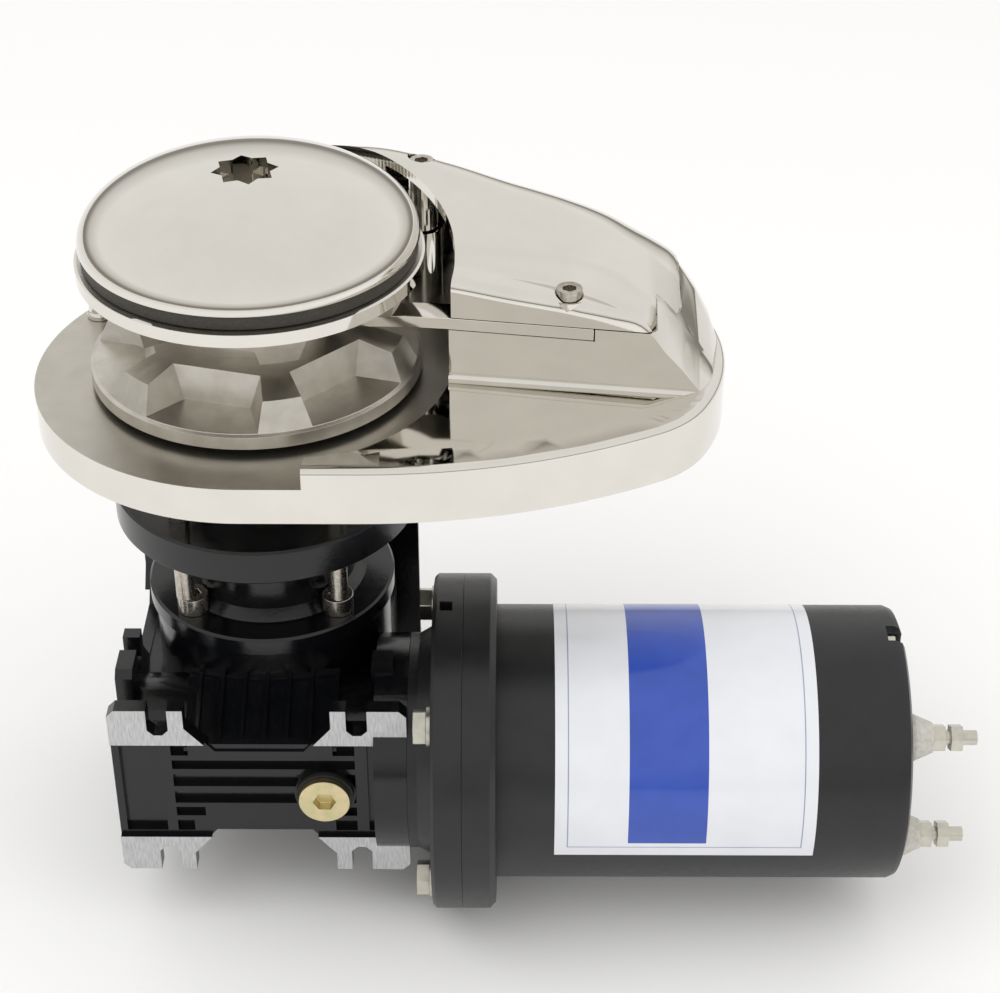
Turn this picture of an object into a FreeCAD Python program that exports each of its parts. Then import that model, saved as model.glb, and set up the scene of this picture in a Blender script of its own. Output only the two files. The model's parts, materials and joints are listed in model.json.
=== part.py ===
import FreeCAD, Part
import math
import os

import Sketcher
from FreeCAD import Placement, Rotation, Vector

# Vertical deck windlass: chain gypsy and clutch on deck, worm gearbox and motor below.
# Frame: origin on the gypsy axis at the underside of the deck plate, +Z up, +X to the motor.

DIMENSIONS = {
    # deck plate and chain housing
    "plate_radius": 89.0,         # round end of the deck plate
    "plate_height": 15.2,         # machined top face
    "plate_length": 187.0,        # gypsy axis to the tip of the nose
    "crest_height": 23.5,         # polished rim beside the chain housing
    "split_height": 46.0,         # joint between housing and cover
    "cover_wall": 4.0,
    "gypsy_clearance": 78.5,      # radius of the pocket that the gypsy turns in
    "seam_rear": 168.5,           # front end of the cover, rear half
    "seam_front": 158.0,          # front end of the cover, on the stripper side
    # gypsy and clutch
    "gypsy_radius": 66.0,         # lower cheek
    "gypsy_flange": 68.0,         # upper cheek
    "gypsy_bottom": 18.0,
    "gypsy_top": 69.0,
    "gypsy_rim": 5.2,
    "chain_plane": 43.0,
    "groove_radius": 32.0,        # where the upright links run
    "groove_width": 10.0,
    "ridge_end": 59.5,            # the ridges between the pockets stay tall out to here
    "ridge_height": 8.0,          # from the chain's plane
    "pocket_seat": 44.0,          # radius at which the flat links sit
    "pocket_floor": 24.0,
    "pocket_pitch_count": 6.0,
    "cap_radius": 66.3,
    "dome_radius": 135.0,
    "shoulder_radius": 16.3,
    "cap_rim": 75.0,
    "cap_apex": 103.0,
    "star_radius": 13.0,
    # shafts
    "shaft_radius": 12.5,
    "shaft_thread": 10.0,
    "running_gap": 0.05,
    # below deck
    "deck_gap": 32.5,             # space left for the deck
    "spool_top_radius": 62.5,
    "spool_top_height": 15.4,
    "spool_foot_radius": 52.0,
    "spool_foot_height": 7.6,
    "spool_neck_radius": 36.0,
    "stud_radius": 4.0,
    "stud_thread": 3.75,          # M8 thread drawn smooth, between its crest and its root
    "stud_shank_end": 50.0,
    "stud_across": 63.0,
    "stud_along": 76.0,
    "stud_tail": 71.0,
    # worm gearbox, centre distance 50
    "gear_level": 137.0,          # worm axis below the deck plate
    "centre_distance": 50.0,
    "gear_module": 2.5,
    "wheel_teeth": 30.0,
    "tooth_width": 20.0,
    "worm_pitch_radius": 12.5,
    "backlash": 0.35,
    "case_half": 60.0,
    "case_front": 84.0,
    "foot_half": 42.5,
    "hub_half": 46.0,
    "foot_slot": 8.5,
    "foot_slot_across": 80.0,
    "foot_slot_height": 70.0,
    "foot_thick": 7.0,
    # motor
    "flange_radius": 70.0,
    "flange_start": 70.0,
    "flange_seam": 82.5,
    "motor_start": 96.0,
    "motor_end": 262.0,
    "motor_radius": 57.0,
    "motor_wall": 4.0,
    "flange_bolt_circle": 115.0,
}

TO_X = Rotation(Vector(0, 1, 0), 90)       # turns a piece made along +Z to lie along +X
TO_FRONT = Rotation(Vector(1, 0, 0), 90)   # turns it to point along -Y
UPRIGHT = Rotation()


class Size:
    """A number together with the spreadsheet expression that gives it."""

    def __init__(self, value, text=None):
        self.value = float(value)
        self.text = text or repr(float(value))

    def joined(self, sign, other, value):
        return Size(value, "(%s %s %s)" % (self.text, sign, other.text))

    def __add__(self, other):
        other = size(other)
        return self.joined("+", other, self.value + other.value)

    def __sub__(self, other):
        other = size(other)
        return self.joined("-", other, self.value - other.value)

    def __mul__(self, other):
        other = size(other)
        return self.joined("*", other, self.value * other.value)

    def __truediv__(self, other):
        other = size(other)
        return self.joined("/", other, self.value / other.value)

    def __radd__(self, other):
        return size(other) + self

    def __rsub__(self, other):
        return size(other) - self

    def __rmul__(self, other):
        return size(other) * self

    def __neg__(self):
        return size(0) - self


def size(item):
    """The item itself if it is a Size, else a plain number made into one."""
    return item if isinstance(item, Size) else Size(item)


class Sizes:
    """The driving spreadsheet; each dimension is read as an attribute."""

    def __init__(self, doc):
        self.sheet = doc.addObject("Spreadsheet::Sheet", "Sizes")
        for row, (name, value) in enumerate(DIMENSIONS.items(), start=1):
            self.sheet.set("A%d" % row, name)
            self.sheet.set("B%d" % row, repr(value))
            self.sheet.setAlias("B%d" % row, name)
            setattr(self, name, Size(value, "Sizes.%s" % name))
        doc.recompute()


doc = FreeCAD.newDocument("DeckWindlass")
dim = Sizes(doc)
subparts = []


# ---------------------------------------------------------------- building blocks

def keep(item, label):
    """Name a finished sub-part and put it on the list that is written out."""
    item.Label = label
    subparts.append(item)
    return item


def bind(item, path, length):
    item.setExpression(path, size(length).text)


def place(item, x, y, z, turn=UPRIGHT):
    item.Placement = Placement(Vector(size(x).value, size(y).value, size(z).value), turn)
    for axis, length in (("x", x), ("y", y), ("z", z)):
        bind(item, "Placement.Base." + axis, length)
    return item


def cylinder(radius, height, x, y, z, turn=UPRIGHT):
    item = doc.addObject("Part::Cylinder", "Cylinder")
    bind(item, "Radius", radius)
    bind(item, "Height", height)
    return place(item, x, y, z, turn)


def hexagon(across_flats, height, x, y, z, turn=UPRIGHT):
    item = doc.addObject("Part::Prism", "Hexagon")
    item.Polygon = 6
    bind(item, "Circumradius", size(across_flats) / math.sqrt(3))
    bind(item, "Height", height)
    return place(item, x, y, z, turn)


def box(x_span, y_span, z_span):
    """A box from its low and high limits along each axis."""
    item = doc.addObject("Part::Box", "Box")
    for name, (low, high) in (("Length", x_span), ("Width", y_span), ("Height", z_span)):
        bind(item, name, size(high) - low)
    return place(item, x_span[0], y_span[0], z_span[0])


def fuse(*items):
    item = doc.addObject("Part::MultiFuse", "Fuse")
    item.Shapes = list(items)
    item.Refine = True
    return item


def cut(base, *tools):
    item = doc.addObject("Part::Cut", "Cut")
    item.Base = base
    item.Tool = tools[0] if len(tools) == 1 else fuse(*tools)
    item.Refine = True
    return item


def group(*items):
    item = doc.addObject("Part::Compound", "Group")
    item.Links = list(items)
    return item


def sketch_on(body, role="XY_Plane", offset=0):
    """A sketch on one of the body's own origin planes."""
    sketch = body.newObject("Sketcher::SketchObject", "Sketch")
    plane = [item for item in body.Origin.OriginFeatures if item.Role == role][0]
    sketch.AttachmentSupport = [(plane, "")]
    sketch.MapMode = "FlatFace"
    bind(sketch, "AttachmentOffset.Base.z", offset)
    return sketch


def outline(sketch, corners):
    """A closed polygon whose corners are all driven by the sheet."""
    corners = [(size(x), size(y)) for x, y in corners]
    points = [Vector(x.value, y.value, 0) for x, y in corners]
    first = sketch.GeometryCount
    count = len(points)
    for index in range(count):
        sketch.addGeometry(Part.LineSegment(points[index], points[(index + 1) % count]), False)
    for index in range(count):
        following = first + (index + 1) % count
        sketch.addConstraint(Sketcher.Constraint("Coincident", first + index, 2, following, 1))
    for index, (x, y) in enumerate(corners):
        for kind, length in (("DistanceX", x), ("DistanceY", y)):
            place_number = sketch.addConstraint(
                Sketcher.Constraint(kind, first + index, 1, length.value))
            bind(sketch, "Constraints[%d]" % place_number, length)


def new_body(name):
    return doc.addObject("PartDesign::Body", name)


def revolved(name, profile, x=0, y=0, z=0, turn=UPRIGHT):
    """A turned piece from its half section, given as (radius, height) corners."""
    body = new_body(name)
    sketch = sketch_on(body, "XZ_Plane")
    outline(sketch, profile)
    turning = body.newObject("PartDesign::Revolution", "Turning")
    turning.Profile = sketch
    turning.ReferenceAxis = (sketch, ["V_Axis"])
    turning.Angle = 360
    place(body, x, y, z, turn)
    return body


def padded(name, corners, z_span, role="XY_Plane"):
    """A plate from its outline and the two levels that it lies between."""
    body = new_body(name)
    sketch = sketch_on(body, role, z_span[0])
    outline(sketch, corners)
    pad = body.newObject("PartDesign::Pad", "Pad")
    pad.Profile = sketch
    bind(pad, "Length", size(z_span[1]) - z_span[0])
    return body


def ring_of(count, radius, first_angle):
    """Places evenly spaced on a circle, as (x, y) Sizes."""
    places = []
    for index in range(count):
        angle = math.radians(first_angle + 360.0 * index / count)
        places.append((size(radius) * math.cos(angle), size(radius) * math.sin(angle)))
    return places


def ball_bearing(label, bore, outside, width, x, y, z, turn=UPRIGHT):
    """A shielded bearing ring: the shields sit a little below the two faces."""
    bore = size(bore)
    outside = size(outside)
    third = (outside - bore) / 3.0
    body = revolved(label, [
        (bore, 0), (bore + third, 0), (bore + third, 0.8), (outside - third, 0.8),
        (outside - third, 0), (outside, 0), (outside, width), (outside - third, width),
        (outside - third, width - 0.8), (bore + third, width - 0.8),
        (bore + third, width), (bore, width)], x, y, z, turn)
    return keep(body, label)


def lip_seal(label, bore, outside, width, x, y, z, turn=UPRIGHT):
    """A rubber shaft seal: outer case ring, web and a lip towards the shaft."""
    bore = size(bore)
    outside = size(outside)
    body = revolved(label, [
        (bore, width * 0.35), (outside - 2.5, 0.0), (outside, 0.0), (outside, width),
        (outside - 2.5, width), (outside - 2.5, width * 0.55), (bore, width * 0.7)],
        x, y, z, turn)
    return keep(body, label)


def socket_screw(head_radius, head_height, shank_radius, shank_length, socket, x, y, z,
                 turn=UPRIGHT):
    """Socket head cap screw, seat at z, shank below and hexagon socket in the top."""
    head = cylinder(head_radius, head_height, 0, 0, 0)
    shank = cylinder(shank_radius, shank_length, 0, 0, -size(shank_length))
    key = hexagon(socket, head_height, 0, 0, head_height * 0.45)
    return place(cut(fuse(head, shank), key), x, y, z, turn)


# ---------------------------------------------------------------- deck plate and chain housing

FLANK_START = 45.0       # straight part of the plan ends here
FLANK_RADIUS = 237.0     # long curve of the side
SHOULDER_RADIUS = 45.0
NOSE_RADIUS = 90.0


def meeting(first, first_reach, second, second_reach):
    """The point at the given distances from two centres, on the nose side."""
    across = second - first
    spacing = across.Length
    along = (first_reach ** 2 - second_reach ** 2 + spacing ** 2) / (2 * spacing)
    sideways = math.sqrt(first_reach ** 2 - along ** 2)
    direction = across / spacing
    normal = Vector(-direction.y, direction.x, 0)
    return first + direction * along + normal * sideways


FLANK_CENTRE = Vector(FLANK_START, FLANK_RADIUS - dim.plate_radius.value, 0)
NOSE_CENTRE = Vector(dim.plate_length.value - NOSE_RADIUS, 0, 0)
SHOULDER_CENTRE = meeting(FLANK_CENTRE, FLANK_RADIUS - SHOULDER_RADIUS,
                          NOSE_CENTRE, NOSE_RADIUS - SHOULDER_RADIUS)
FLANK_END = FLANK_CENTRE + (SHOULDER_CENTRE - FLANK_CENTRE).normalize() * FLANK_RADIUS
SHOULDER_END = NOSE_CENTRE + (SHOULDER_CENTRE - NOSE_CENTRE).normalize() * NOSE_RADIUS


def half_width(x):
    """Half the plan width of the deck plate at a station ahead of the gypsy axis."""
    if x <= FLANK_START:
        return dim.plate_radius.value
    if x <= FLANK_END.x:
        return math.sqrt(FLANK_RADIUS ** 2 - (x - FLANK_START) ** 2) - FLANK_CENTRE.y
    if x <= SHOULDER_END.x:
        return math.sqrt(SHOULDER_RADIUS ** 2 - (x - SHOULDER_CENTRE.x) ** 2) - SHOULDER_CENTRE.y
    return math.sqrt(NOSE_RADIUS ** 2 - (x - NOSE_CENTRE.x) ** 2)


def arc(centre, radius, start, end, level):
    """The short arc about a centre between two directions, given as points."""
    first = (start - centre).normalize()
    last = (end - centre).normalize()
    middle = (first + last).normalize()
    places = [centre + direction * radius + Vector(0, 0, level)
              for direction in (first, middle, last)]
    return Part.Arc(*places).toShape()


def plan_wire(inset, level):
    """Plan of the deck plate, drawn in by an inset, at a level."""
    flank_top = Vector(FLANK_START, -dim.plate_radius.value, 0)
    round_start = Vector(0, -dim.plate_radius.value, 0)
    tip = Vector(dim.plate_length.value, 0, 0)
    side = [
        arc(FLANK_CENTRE, FLANK_RADIUS - inset, flank_top, FLANK_END, level),
        arc(SHOULDER_CENTRE, SHOULDER_RADIUS - inset, FLANK_END, SHOULDER_END, level),
        arc(NOSE_CENTRE, NOSE_RADIUS - inset, SHOULDER_END, tip, level)]
    radius = dim.plate_radius.value - inset
    side.insert(0, Part.makeLine(Vector(0, -radius, level), Vector(FLANK_START, -radius, level)))
    side.insert(0, arc(Vector(0, 0, 0), radius, Vector(-1, 0, 0), round_start, level))
    mirrored = [edge.mirror(Vector(0, 0, 0), Vector(0, 1, 0)) for edge in side]
    return Part.Wire(Part.__sortEdges__(side + mirrored))


def plan_slab(low, high, rounding):
    """The plan raised between two levels, its upper edge rounded."""
    slab = Part.Face(plan_wire(0, low)).extrude(Vector(0, 0, high - low))
    rim = [edge for edge in slab.Edges
           if abs(edge.BoundBox.ZMin - high) < 1e-6 and abs(edge.BoundBox.ZMax - high) < 1e-6]
    return slab.makeFillet(rounding, rim)


# The housing is drawn by cross sections: station, then (y, z) of the top of the front wall,
# of the ridge where the flat shelf ends, and of the rear edge of the crown.
HOUSING_STATIONS = (
    (24.0, (-6.3, 65.0), (8.0, 68.0), (74.0, 81.0)),
    (50.0, (-10.3, 64.0), (6.0, 68.0), (71.0, 80.5)),
    (77.0, (-14.5, 62.5), (4.0, 67.5), (60.0, 78.0)),
    (100.0, (-18.1, 59.5), (1.0, 67.0), (46.0, 75.5)),
    (122.0, (-21.5, 57.0), (-4.0, 66.5), (36.0, 72.5)),
    (140.0, (-24.2, 54.0), (-11.0, 64.5), (29.0, 68.0)),
    (153.0, (-26.2, 49.5), (-17.0, 58.0), (22.0, 62.5)),
    (161.0, (-27.5, 38.5), (-15.0, 51.5), (19.0, 58.5)),
    (168.0, (-28.5, 31.0), (-14.0, 43.5), (16.0, 54.0)),
    (175.0, (-30.0, 22.5), (-13.0, 33.5), (12.0, 44.5)),
    (181.0, (-30.0, 20.0), (-10.0, 25.5), (9.0, 32.5)),
    (185.0, (-16.0, 18.0), (-5.0, 20.0), (5.0, 22.0)),
)
SHOULDER_FOOT = 24.0      # the rear side is upright below this level
REAR_STEP = 1.5           # the housing stands in from the plate's edge
HOLLOW_END = 7            # the nose beyond this station is solid


def housing_section(station, inset, base, rounded):
    """One closed cross section of the housing, drawn in by a wall thickness."""
    x, front, ridge, crown = station
    rear = half_width(x) - REAR_STEP - inset
    foot = min(SHOULDER_FOOT, crown[1] - 4.0) - inset * 0.5
    low_front = Vector(x, front[0] + inset, base)
    high_front = Vector(x, front[0] + inset, front[1] - inset)
    shelf_end = Vector(x, ridge[0] + inset * 0.4, ridge[1] - inset)
    crown_end = Vector(x, crown[0] - inset * 0.5, crown[1] - inset)
    rear_foot = Vector(x, rear, foot)
    chord = rear_foot - crown_end
    outward = Vector(0, -chord.z, chord.y).normalize() * (0.14 * chord.Length)
    shoulder = (crown_end + rear_foot) * 0.5 + outward
    if rounded:
        side = [Part.Arc(crown_end, shoulder, rear_foot).toShape()]
    else:
        side = [Part.makeLine(crown_end, shoulder), Part.makeLine(shoulder, rear_foot)]
    low_rear = Vector(x, rear, base)
    return Part.Wire([
        Part.makeLine(low_front, high_front),
        Part.makeLine(high_front, shelf_end),
        Part.makeLine(shelf_end, crown_end)] + side + [
        Part.makeLine(rear_foot, low_rear),
        Part.makeLine(low_rear, low_front)])


def housing_form(base):
    """The outer form of the housing, from inside the plate to the crown."""
    sections = [housing_section(station, 0.0, base, True) for station in HOUSING_STATIONS]
    return Part.makeLoft(sections, True, True)


def housing_hollow(base):
    """The space inside the housing, plainer than its outside."""
    sections = [housing_section(station, dim.cover_wall.value, base, False)
                for station in HOUSING_STATIONS[1:HOLLOW_END:2]]
    return Part.makeLoft(sections, True, True)


def wall_line(x):
    """Distance of the housing's front wall from the centre line."""
    return -14.5 - 0.152 * (x - 77.0)


def along_wall(x_span, y_offsets, z_span):
    """A straight block that follows the slight angle of the front wall."""
    corners = [Vector(x, wall_line(x) + y, z_span[0])
               for x, y in ((x_span[0], y_offsets[0]), (x_span[1], y_offsets[0]),
                            (x_span[1], y_offsets[1]), (x_span[0], y_offsets[1]))]
    face = Part.Face(Part.makePolygon(corners + corners[:1]))
    return face.extrude(Vector(0, 0, z_span[1] - z_span[0]))


def upright(radius, low, high, x=0.0, y=0.0):
    return Part.makeCylinder(radius, high - low, Vector(x, y, low))


def cover_space(gap):
    """The space above the split that the cover fills, grown by a gap."""
    low = dim.split_height.value - gap
    rear = Part.makeBox(dim.seam_rear.value + gap, 111, 60, Vector(0, -11 - gap, low))
    front = Part.makeBox(dim.seam_front.value + gap, 50, 60, Vector(0, -60, low))
    return rear.fuse(front)


COVER_SCREWS = ((64.5, 64.0, 71.0), (124.0, -15.0, 54.5))     # x, y and level of the head's seat
COVER_SCREW_RADIUS = 3.0
SCREW_CLEARANCE = 3.2                                         # holes in the stripper bar
STRIPPER_SCREW = (96.0, wall_line(96.0) + 6.5)
CHAIN_HOLE = (112.0, 27.0, 24.0)                              # x, y and radius of the chain pipe
CHAIN_HOLE_STRETCH = 16.0


def chain_hole(low, high):
    """The oblong hole that the chain falls through."""
    x, y, radius = CHAIN_HOLE
    ends = upright(radius, low, high, x).fuse(upright(radius, low, high, x + CHAIN_HOLE_STRETCH))
    middle = Part.makeBox(CHAIN_HOLE_STRETCH, 2 * radius, high - low, Vector(x, -radius, low))
    hole = ends.fuse(middle)
    hole.translate(Vector(-CHAIN_HOLE_STRETCH / 2, y, 0))
    return hole


def deck_plate():
    top = dim.plate_height.value
    crest = dim.crest_height.value
    split = dim.split_height.value
    clearance = dim.gypsy_clearance.value
    slab = plan_slab(0.0, top, 3.2)
    raised = plan_slab(0.0, crest, 2.4)
    dish = Part.makeLoft([plan_wire(24.0, 17.4), plan_wire(1.8, crest + 0.4)], True, True)
    behind_gypsy = Part.makeBox(150, 200, 20, Vector(-126, -100, top))
    raised = raised.cut([dish, behind_gypsy])
    bead = Part.makeCylinder(2.2, 103, Vector(72, wall_line(72), 19.0),
                             Vector(1, -0.152, 0.012))
    body = housing_form(2.0).cut(cover_space(0.0))
    casting = slab.fuse([raised, body, bead])
    chamber = housing_hollow(top)
    ledge = along_wall((20, 160), (-20, 17), (top, split))
    chamber = chamber.cut(ledge)
    pillar_x, pillar_y, _ = COVER_SCREWS[0]
    pillar = upright(8.0, top, split, pillar_x, pillar_y)
    chamber = chamber.cut(pillar)
    boss = upright(34.0, -8.0, 0.0)
    casting = casting.cut(chamber).fuse(boss)
    bearing_seat = upright(26.0, -8.0, 7.0)
    seal_seat = upright(21.0, 7.0, top)
    turning_space = upright(clearance, top, 110.0)
    slot = along_wall((60, 134), (-3, 12.6), (split - 5.3, split + 1))
    holes = [bearing_seat, seal_seat, turning_space, slot, chain_hole(-1.0, top + 1)]
    for x_sign in (-1, 1):
        for y_sign in (-1, 1):
            holes.append(upright(dim.stud_radius.value, -1, 13.0,
                                 x_sign * dim.stud_across.value / 2,
                                 y_sign * dim.stud_along.value / 2))
    for x, y, _ in COVER_SCREWS:
        holes.append(upright(COVER_SCREW_RADIUS, split - 16.0, split + 1, x, y))
    x, y = STRIPPER_SCREW
    holes.append(upright(3.0, split - 18.0, split + 1, x, y))
    holes.append(upright(4.0, 5.0, top + 1, *GUIDE_POST))
    item = doc.addObject("Part::Feature", "DeckPlate")
    item.Shape = casting.cut(holes).removeSplitter()
    return keep(item, "deck_plate")


GUIDE_POST = (-70.0, 42.0)


def chain_cover():
    """The hollow lid of the chain housing, cut round to clear the gypsy."""
    shell = housing_form(30.0).common(cover_space(-0.35))
    hollow = housing_hollow(30.0)
    bosses = [upright(9.0, 30.0, 100.0, x, y) for x, y, seat in COVER_SCREWS]
    ledge = along_wall((20, 160), (-20, 17), (30, 46.5))
    hollow = hollow.cut(bosses + [ledge])
    cuts = [hollow, upright(dim.gypsy_clearance.value + 1.0, 20, 120)]
    for x, y, seat in COVER_SCREWS:
        cuts.append(upright(COVER_SCREW_RADIUS + 0.3, 30.0, 100.0, x, y))
        cuts.append(upright(7.0, seat, 100.0, x, y))
    item = doc.addObject("Part::Feature", "ChainCover")
    item.Shape = shell.cut(cuts).removeSplitter()
    return keep(item, "chain_cover")


def cover_screws():
    screws = []
    for x, y, seat in COVER_SCREWS:
        length = seat - dim.split_height.value + 15.8
        screws.append(socket_screw(6.5, 5.0, COVER_SCREW_RADIUS, length, 5.0, x, y, seat))
    return keep(group(*screws), "cover_screws")


def stripper_bar():
    """Flat bar that peels the chain out of the gypsy; it lies in a slot under the cover."""
    top = dim.split_height.value
    inner, outer = 0.3, 12.3
    corners = [
        (133.6, wall_line(133.6) + inner), (77.0, wall_line(77.0) + inner),
        (60.0, -12.5), (46.0, -12.5), (37.5, -10.0), (37.0, -6.0), (46.0, -2.5),
        (62.0, -1.2), (77.0, wall_line(77.0) + outer), (133.6, wall_line(133.6) + outer)]
    body = padded("Stripper", corners, (top - 5.2, top - 0.2))
    sketch = sketch_on(body, "XY_Plane", top)
    for x, y in (STRIPPER_SCREW, COVER_SCREWS[1][:2]):
        number = sketch.addGeometry(
            Part.Circle(Vector(x, y, 0), Vector(0, 0, 1), SCREW_CLEARANCE), False)
        bind_circle(sketch, number, x, y, SCREW_CLEARANCE)
    drilled = body.newObject("PartDesign::Pocket", "ScrewHoles")
    drilled.Profile = sketch
    drilled.Type = "ThroughAll"
    return keep(body, "stripper_bar")


def bind_circle(sketch, number, x, y, radius):
    """Fix a circle's centre and radius by driven constraints."""
    for kind, length in (("DistanceX", size(x)), ("DistanceY", size(y))):
        constraint = sketch.addConstraint(Sketcher.Constraint(kind, number, 3, length.value))
        bind(sketch, "Constraints[%d]" % constraint, length)
    constraint = sketch.addConstraint(
        Sketcher.Constraint("Radius", number, size(radius).value))
    bind(sketch, "Constraints[%d]" % constraint, radius)


def stripper_screw():
    """Slim screw that holds the bar down with the front cover screw, flush below the cover."""
    x, y = STRIPPER_SCREW
    seat = dim.split_height - 5.2
    return keep(cylinder(3.0, 17.8, x, y, seat - 12.8), "stripper_screw")


def guide_post():
    """Short polished stop pin beside the gypsy, pressed into the plate."""
    body = revolved("GuidePost", [
        (0, -9), (4, -9), (4, 0), (5.5, 0), (5.5, 2), (4.5, 3), (4.5, 13), (3.5, 14), (0, 14)],
        GUIDE_POST[0], GUIDE_POST[1], dim.plate_height)
    return keep(body, "guide_post")


def deck_studs():
    studs = []
    for x_sign in (-1, 1):
        for y_sign in (-1, 1):
            x = x_sign * dim.stud_across / 2
            y = y_sign * dim.stud_along / 2
            shank = cylinder(dim.stud_radius, dim.stud_shank_end + 12.5, x, y,
                             -dim.stud_shank_end)
            thread = cylinder(dim.stud_thread, dim.stud_tail - dim.stud_shank_end + 1.0, x, y,
                              -dim.stud_tail)
            studs.append(fuse(shank, thread))
    return keep(group(*studs), "deck_studs")


# ---------------------------------------------------------------- gypsy, clutch and cap

def gypsy():
    """Chain wheel: two cheeks with pockets for the flat links and a groove between them."""
    low = dim.gypsy_bottom
    top = dim.gypsy_top
    half_groove = dim.groove_width / 2
    plane = dim.chain_plane
    hub = dim.shaft_radius + dim.running_gap
    body = revolved("Gypsy", [
        (hub, 33.5), (22.5, 33.5), (27.5, low), (dim.gypsy_radius, low),
        (dim.gypsy_radius, low + dim.gypsy_rim), (dim.gypsy_radius - 1.5, low + dim.gypsy_rim + 0.6),
        (dim.ridge_end, plane - dim.ridge_height), (46.0, plane - half_groove),
        (dim.groove_radius, plane - half_groove), (dim.groove_radius, plane + half_groove),
        (46.0, plane + half_groove), (dim.ridge_end, plane + dim.ridge_height),
        (dim.gypsy_flange - 4.0, top - 6.4), (dim.gypsy_flange, top - 5.6),
        (dim.gypsy_flange, top - 0.4), (dim.gypsy_flange - 1.0, top),
        (34.0, top), (27.0, 53.0), (hub, 53.0)])
    count = int(dim.pocket_pitch_count.value)
    flip = Rotation(Vector(1, 0, 0), 180)
    pockets = []
    for index in range(count):
        turn = Rotation(Vector(0, 0, 1), POCKET_DIRECTION + 360.0 * index / count)
        pockets.append(link_pocket(0, turn))
        pockets.append(link_pocket(2 * plane, turn * flip))
    return keep(cut(body, *pockets), "gypsy")


POCKET_DIRECTION = -105.0     # bearing of one pocket's centre line, degrees


def link_pocket(level, turn):
    """Space for one flat link: narrow at its seat and flaring to the rim of the wheel."""
    body = new_body("LinkPocket")
    levels = ((dim.pocket_floor, 0.0), (dim.chain_plane + 1.0, 6.0))
    sketches = []
    for height, spread in levels:
        sketch = sketch_on(body, "XY_Plane", height)
        seat = dim.pocket_seat - spread * 0.5
        side = [(seat, size(13.5 + spread)),
                (dim.gypsy_radius - 8.0, size(21.5 + spread)),
                (dim.gypsy_radius + 8.0, size(30.0 + spread))]
        outline(sketch, [(x, -y) for x, y in side] + list(reversed(side)))
        sketches.append(sketch)
    loft = body.newObject("PartDesign::AdditiveLoft", "Loft")
    loft.Profile = sketches[0]
    loft.Sections = [sketches[1]]
    loft.Ruled = True
    place(body, 0, 0, level, turn)
    return body


def lower_clutch_cone():
    """Cone keyed to the shaft that the gypsy is pressed on to."""
    low = dim.gypsy_bottom - 2.0
    body = revolved("LowerCone", [
        (dim.shaft_radius, low), (26.4, low), (26.4, low + 2.6), (22.3, 32.8),
        (dim.shaft_radius, 32.8)])
    return keep(cut(body, key_slot(5.0, 40.0)), "lower_clutch_cone")


def upper_clutch_cone():
    """Cone under the cap; it turns with the shaft and rises when the cap is slackened."""
    bore = dim.shaft_radius + dim.running_gap
    top = dim.cap_rim - 0.3
    flange = dim.gypsy_top + 0.3
    body = revolved("UpperCone", [
        (bore, 53.4), (26.5, 53.4), (33.3, flange), (dim.gypsy_flange - 2.6, flange),
        (dim.gypsy_flange - 2.6, top), (dim.shaft_thread + 0.4, top),
        (dim.shaft_thread + 0.4, 67.6), (bore, 67.6)])
    return keep(cut(body, key_slot(50.0, 67.6)), "upper_clutch_cone")


def clutch_cap():
    """Polished domed nut with a star socket for the handle."""
    rim = dim.cap_rim
    radius = dim.cap_radius
    body = new_body("Cap")
    sketch = sketch_on(body, "XZ_Plane")
    apex = dim.cap_apex.value
    dome = dim.dome_radius.value
    shoulder = dim.shoulder_radius.value
    reach = radius.value - shoulder
    meet = math.asin(reach / (dome - shoulder))
    dome_centre = Vector(0, apex - dome, 0)
    shoulder_centre = Vector(reach, apex - dome + (dome - shoulder) * math.cos(meet), 0)

    def at_angle(centre, distance, angle):
        return centre + Vector(math.sin(angle), math.cos(angle), 0) * distance

    corners = [(dim.shaft_thread + 0.05, apex - 12.0), (dim.shaft_thread + 0.05, rim),
               (radius - 0.3, rim), (radius, shoulder_centre.y)]
    points = [Vector(size(x).value, size(y).value, 0) for x, y in corners]
    joint = at_angle(dome_centre, dome, meet)
    top = Vector(0, apex, 0)
    floor = Vector(0, apex - 12.0, 0)
    for first, last in zip(points, points[1:]):
        sketch.addGeometry(Part.LineSegment(first, last), False)
    sketch.addGeometry(Part.Arc(points[-1], at_angle(shoulder_centre, shoulder,
                                                     (meet + math.pi / 2) / 2), joint), False)
    sketch.addGeometry(Part.Arc(joint, at_angle(dome_centre, dome, meet / 2), top), False)
    sketch.addGeometry(Part.LineSegment(top, floor), False)
    sketch.addGeometry(Part.LineSegment(floor, points[0]), False)
    for index, (x, y) in enumerate(corners[:3]):
        for kind, length in (("DistanceX", size(x)), ("DistanceY", size(y))):
            number = sketch.addConstraint(Sketcher.Constraint(kind, index, 1, length.value))
            bind(sketch, "Constraints[%d]" % number, length)
    turning = body.newObject("PartDesign::Revolution", "Turning")
    turning.Profile = sketch
    turning.ReferenceAxis = (sketch, ["V_Axis"])
    turning.Angle = 360
    star_sketch = sketch_on(body, "XY_Plane", dim.cap_apex + 1.0)
    points_out = ring_of(8, dim.star_radius, 12.0)
    points_in = ring_of(8, dim.star_radius * 0.76, 34.5)
    outline(star_sketch, [corner for pair in zip(points_out, points_in) for corner in pair])
    star = body.newObject("PartDesign::Pocket", "StarSocket")
    star.Profile = star_sketch
    star.Length = 16
    return keep(body, "clutch_cap")


# ---------------------------------------------------------------- shaft line

KEY_WIDTH = 8.0
KEY_HIGH = 7.0


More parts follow.
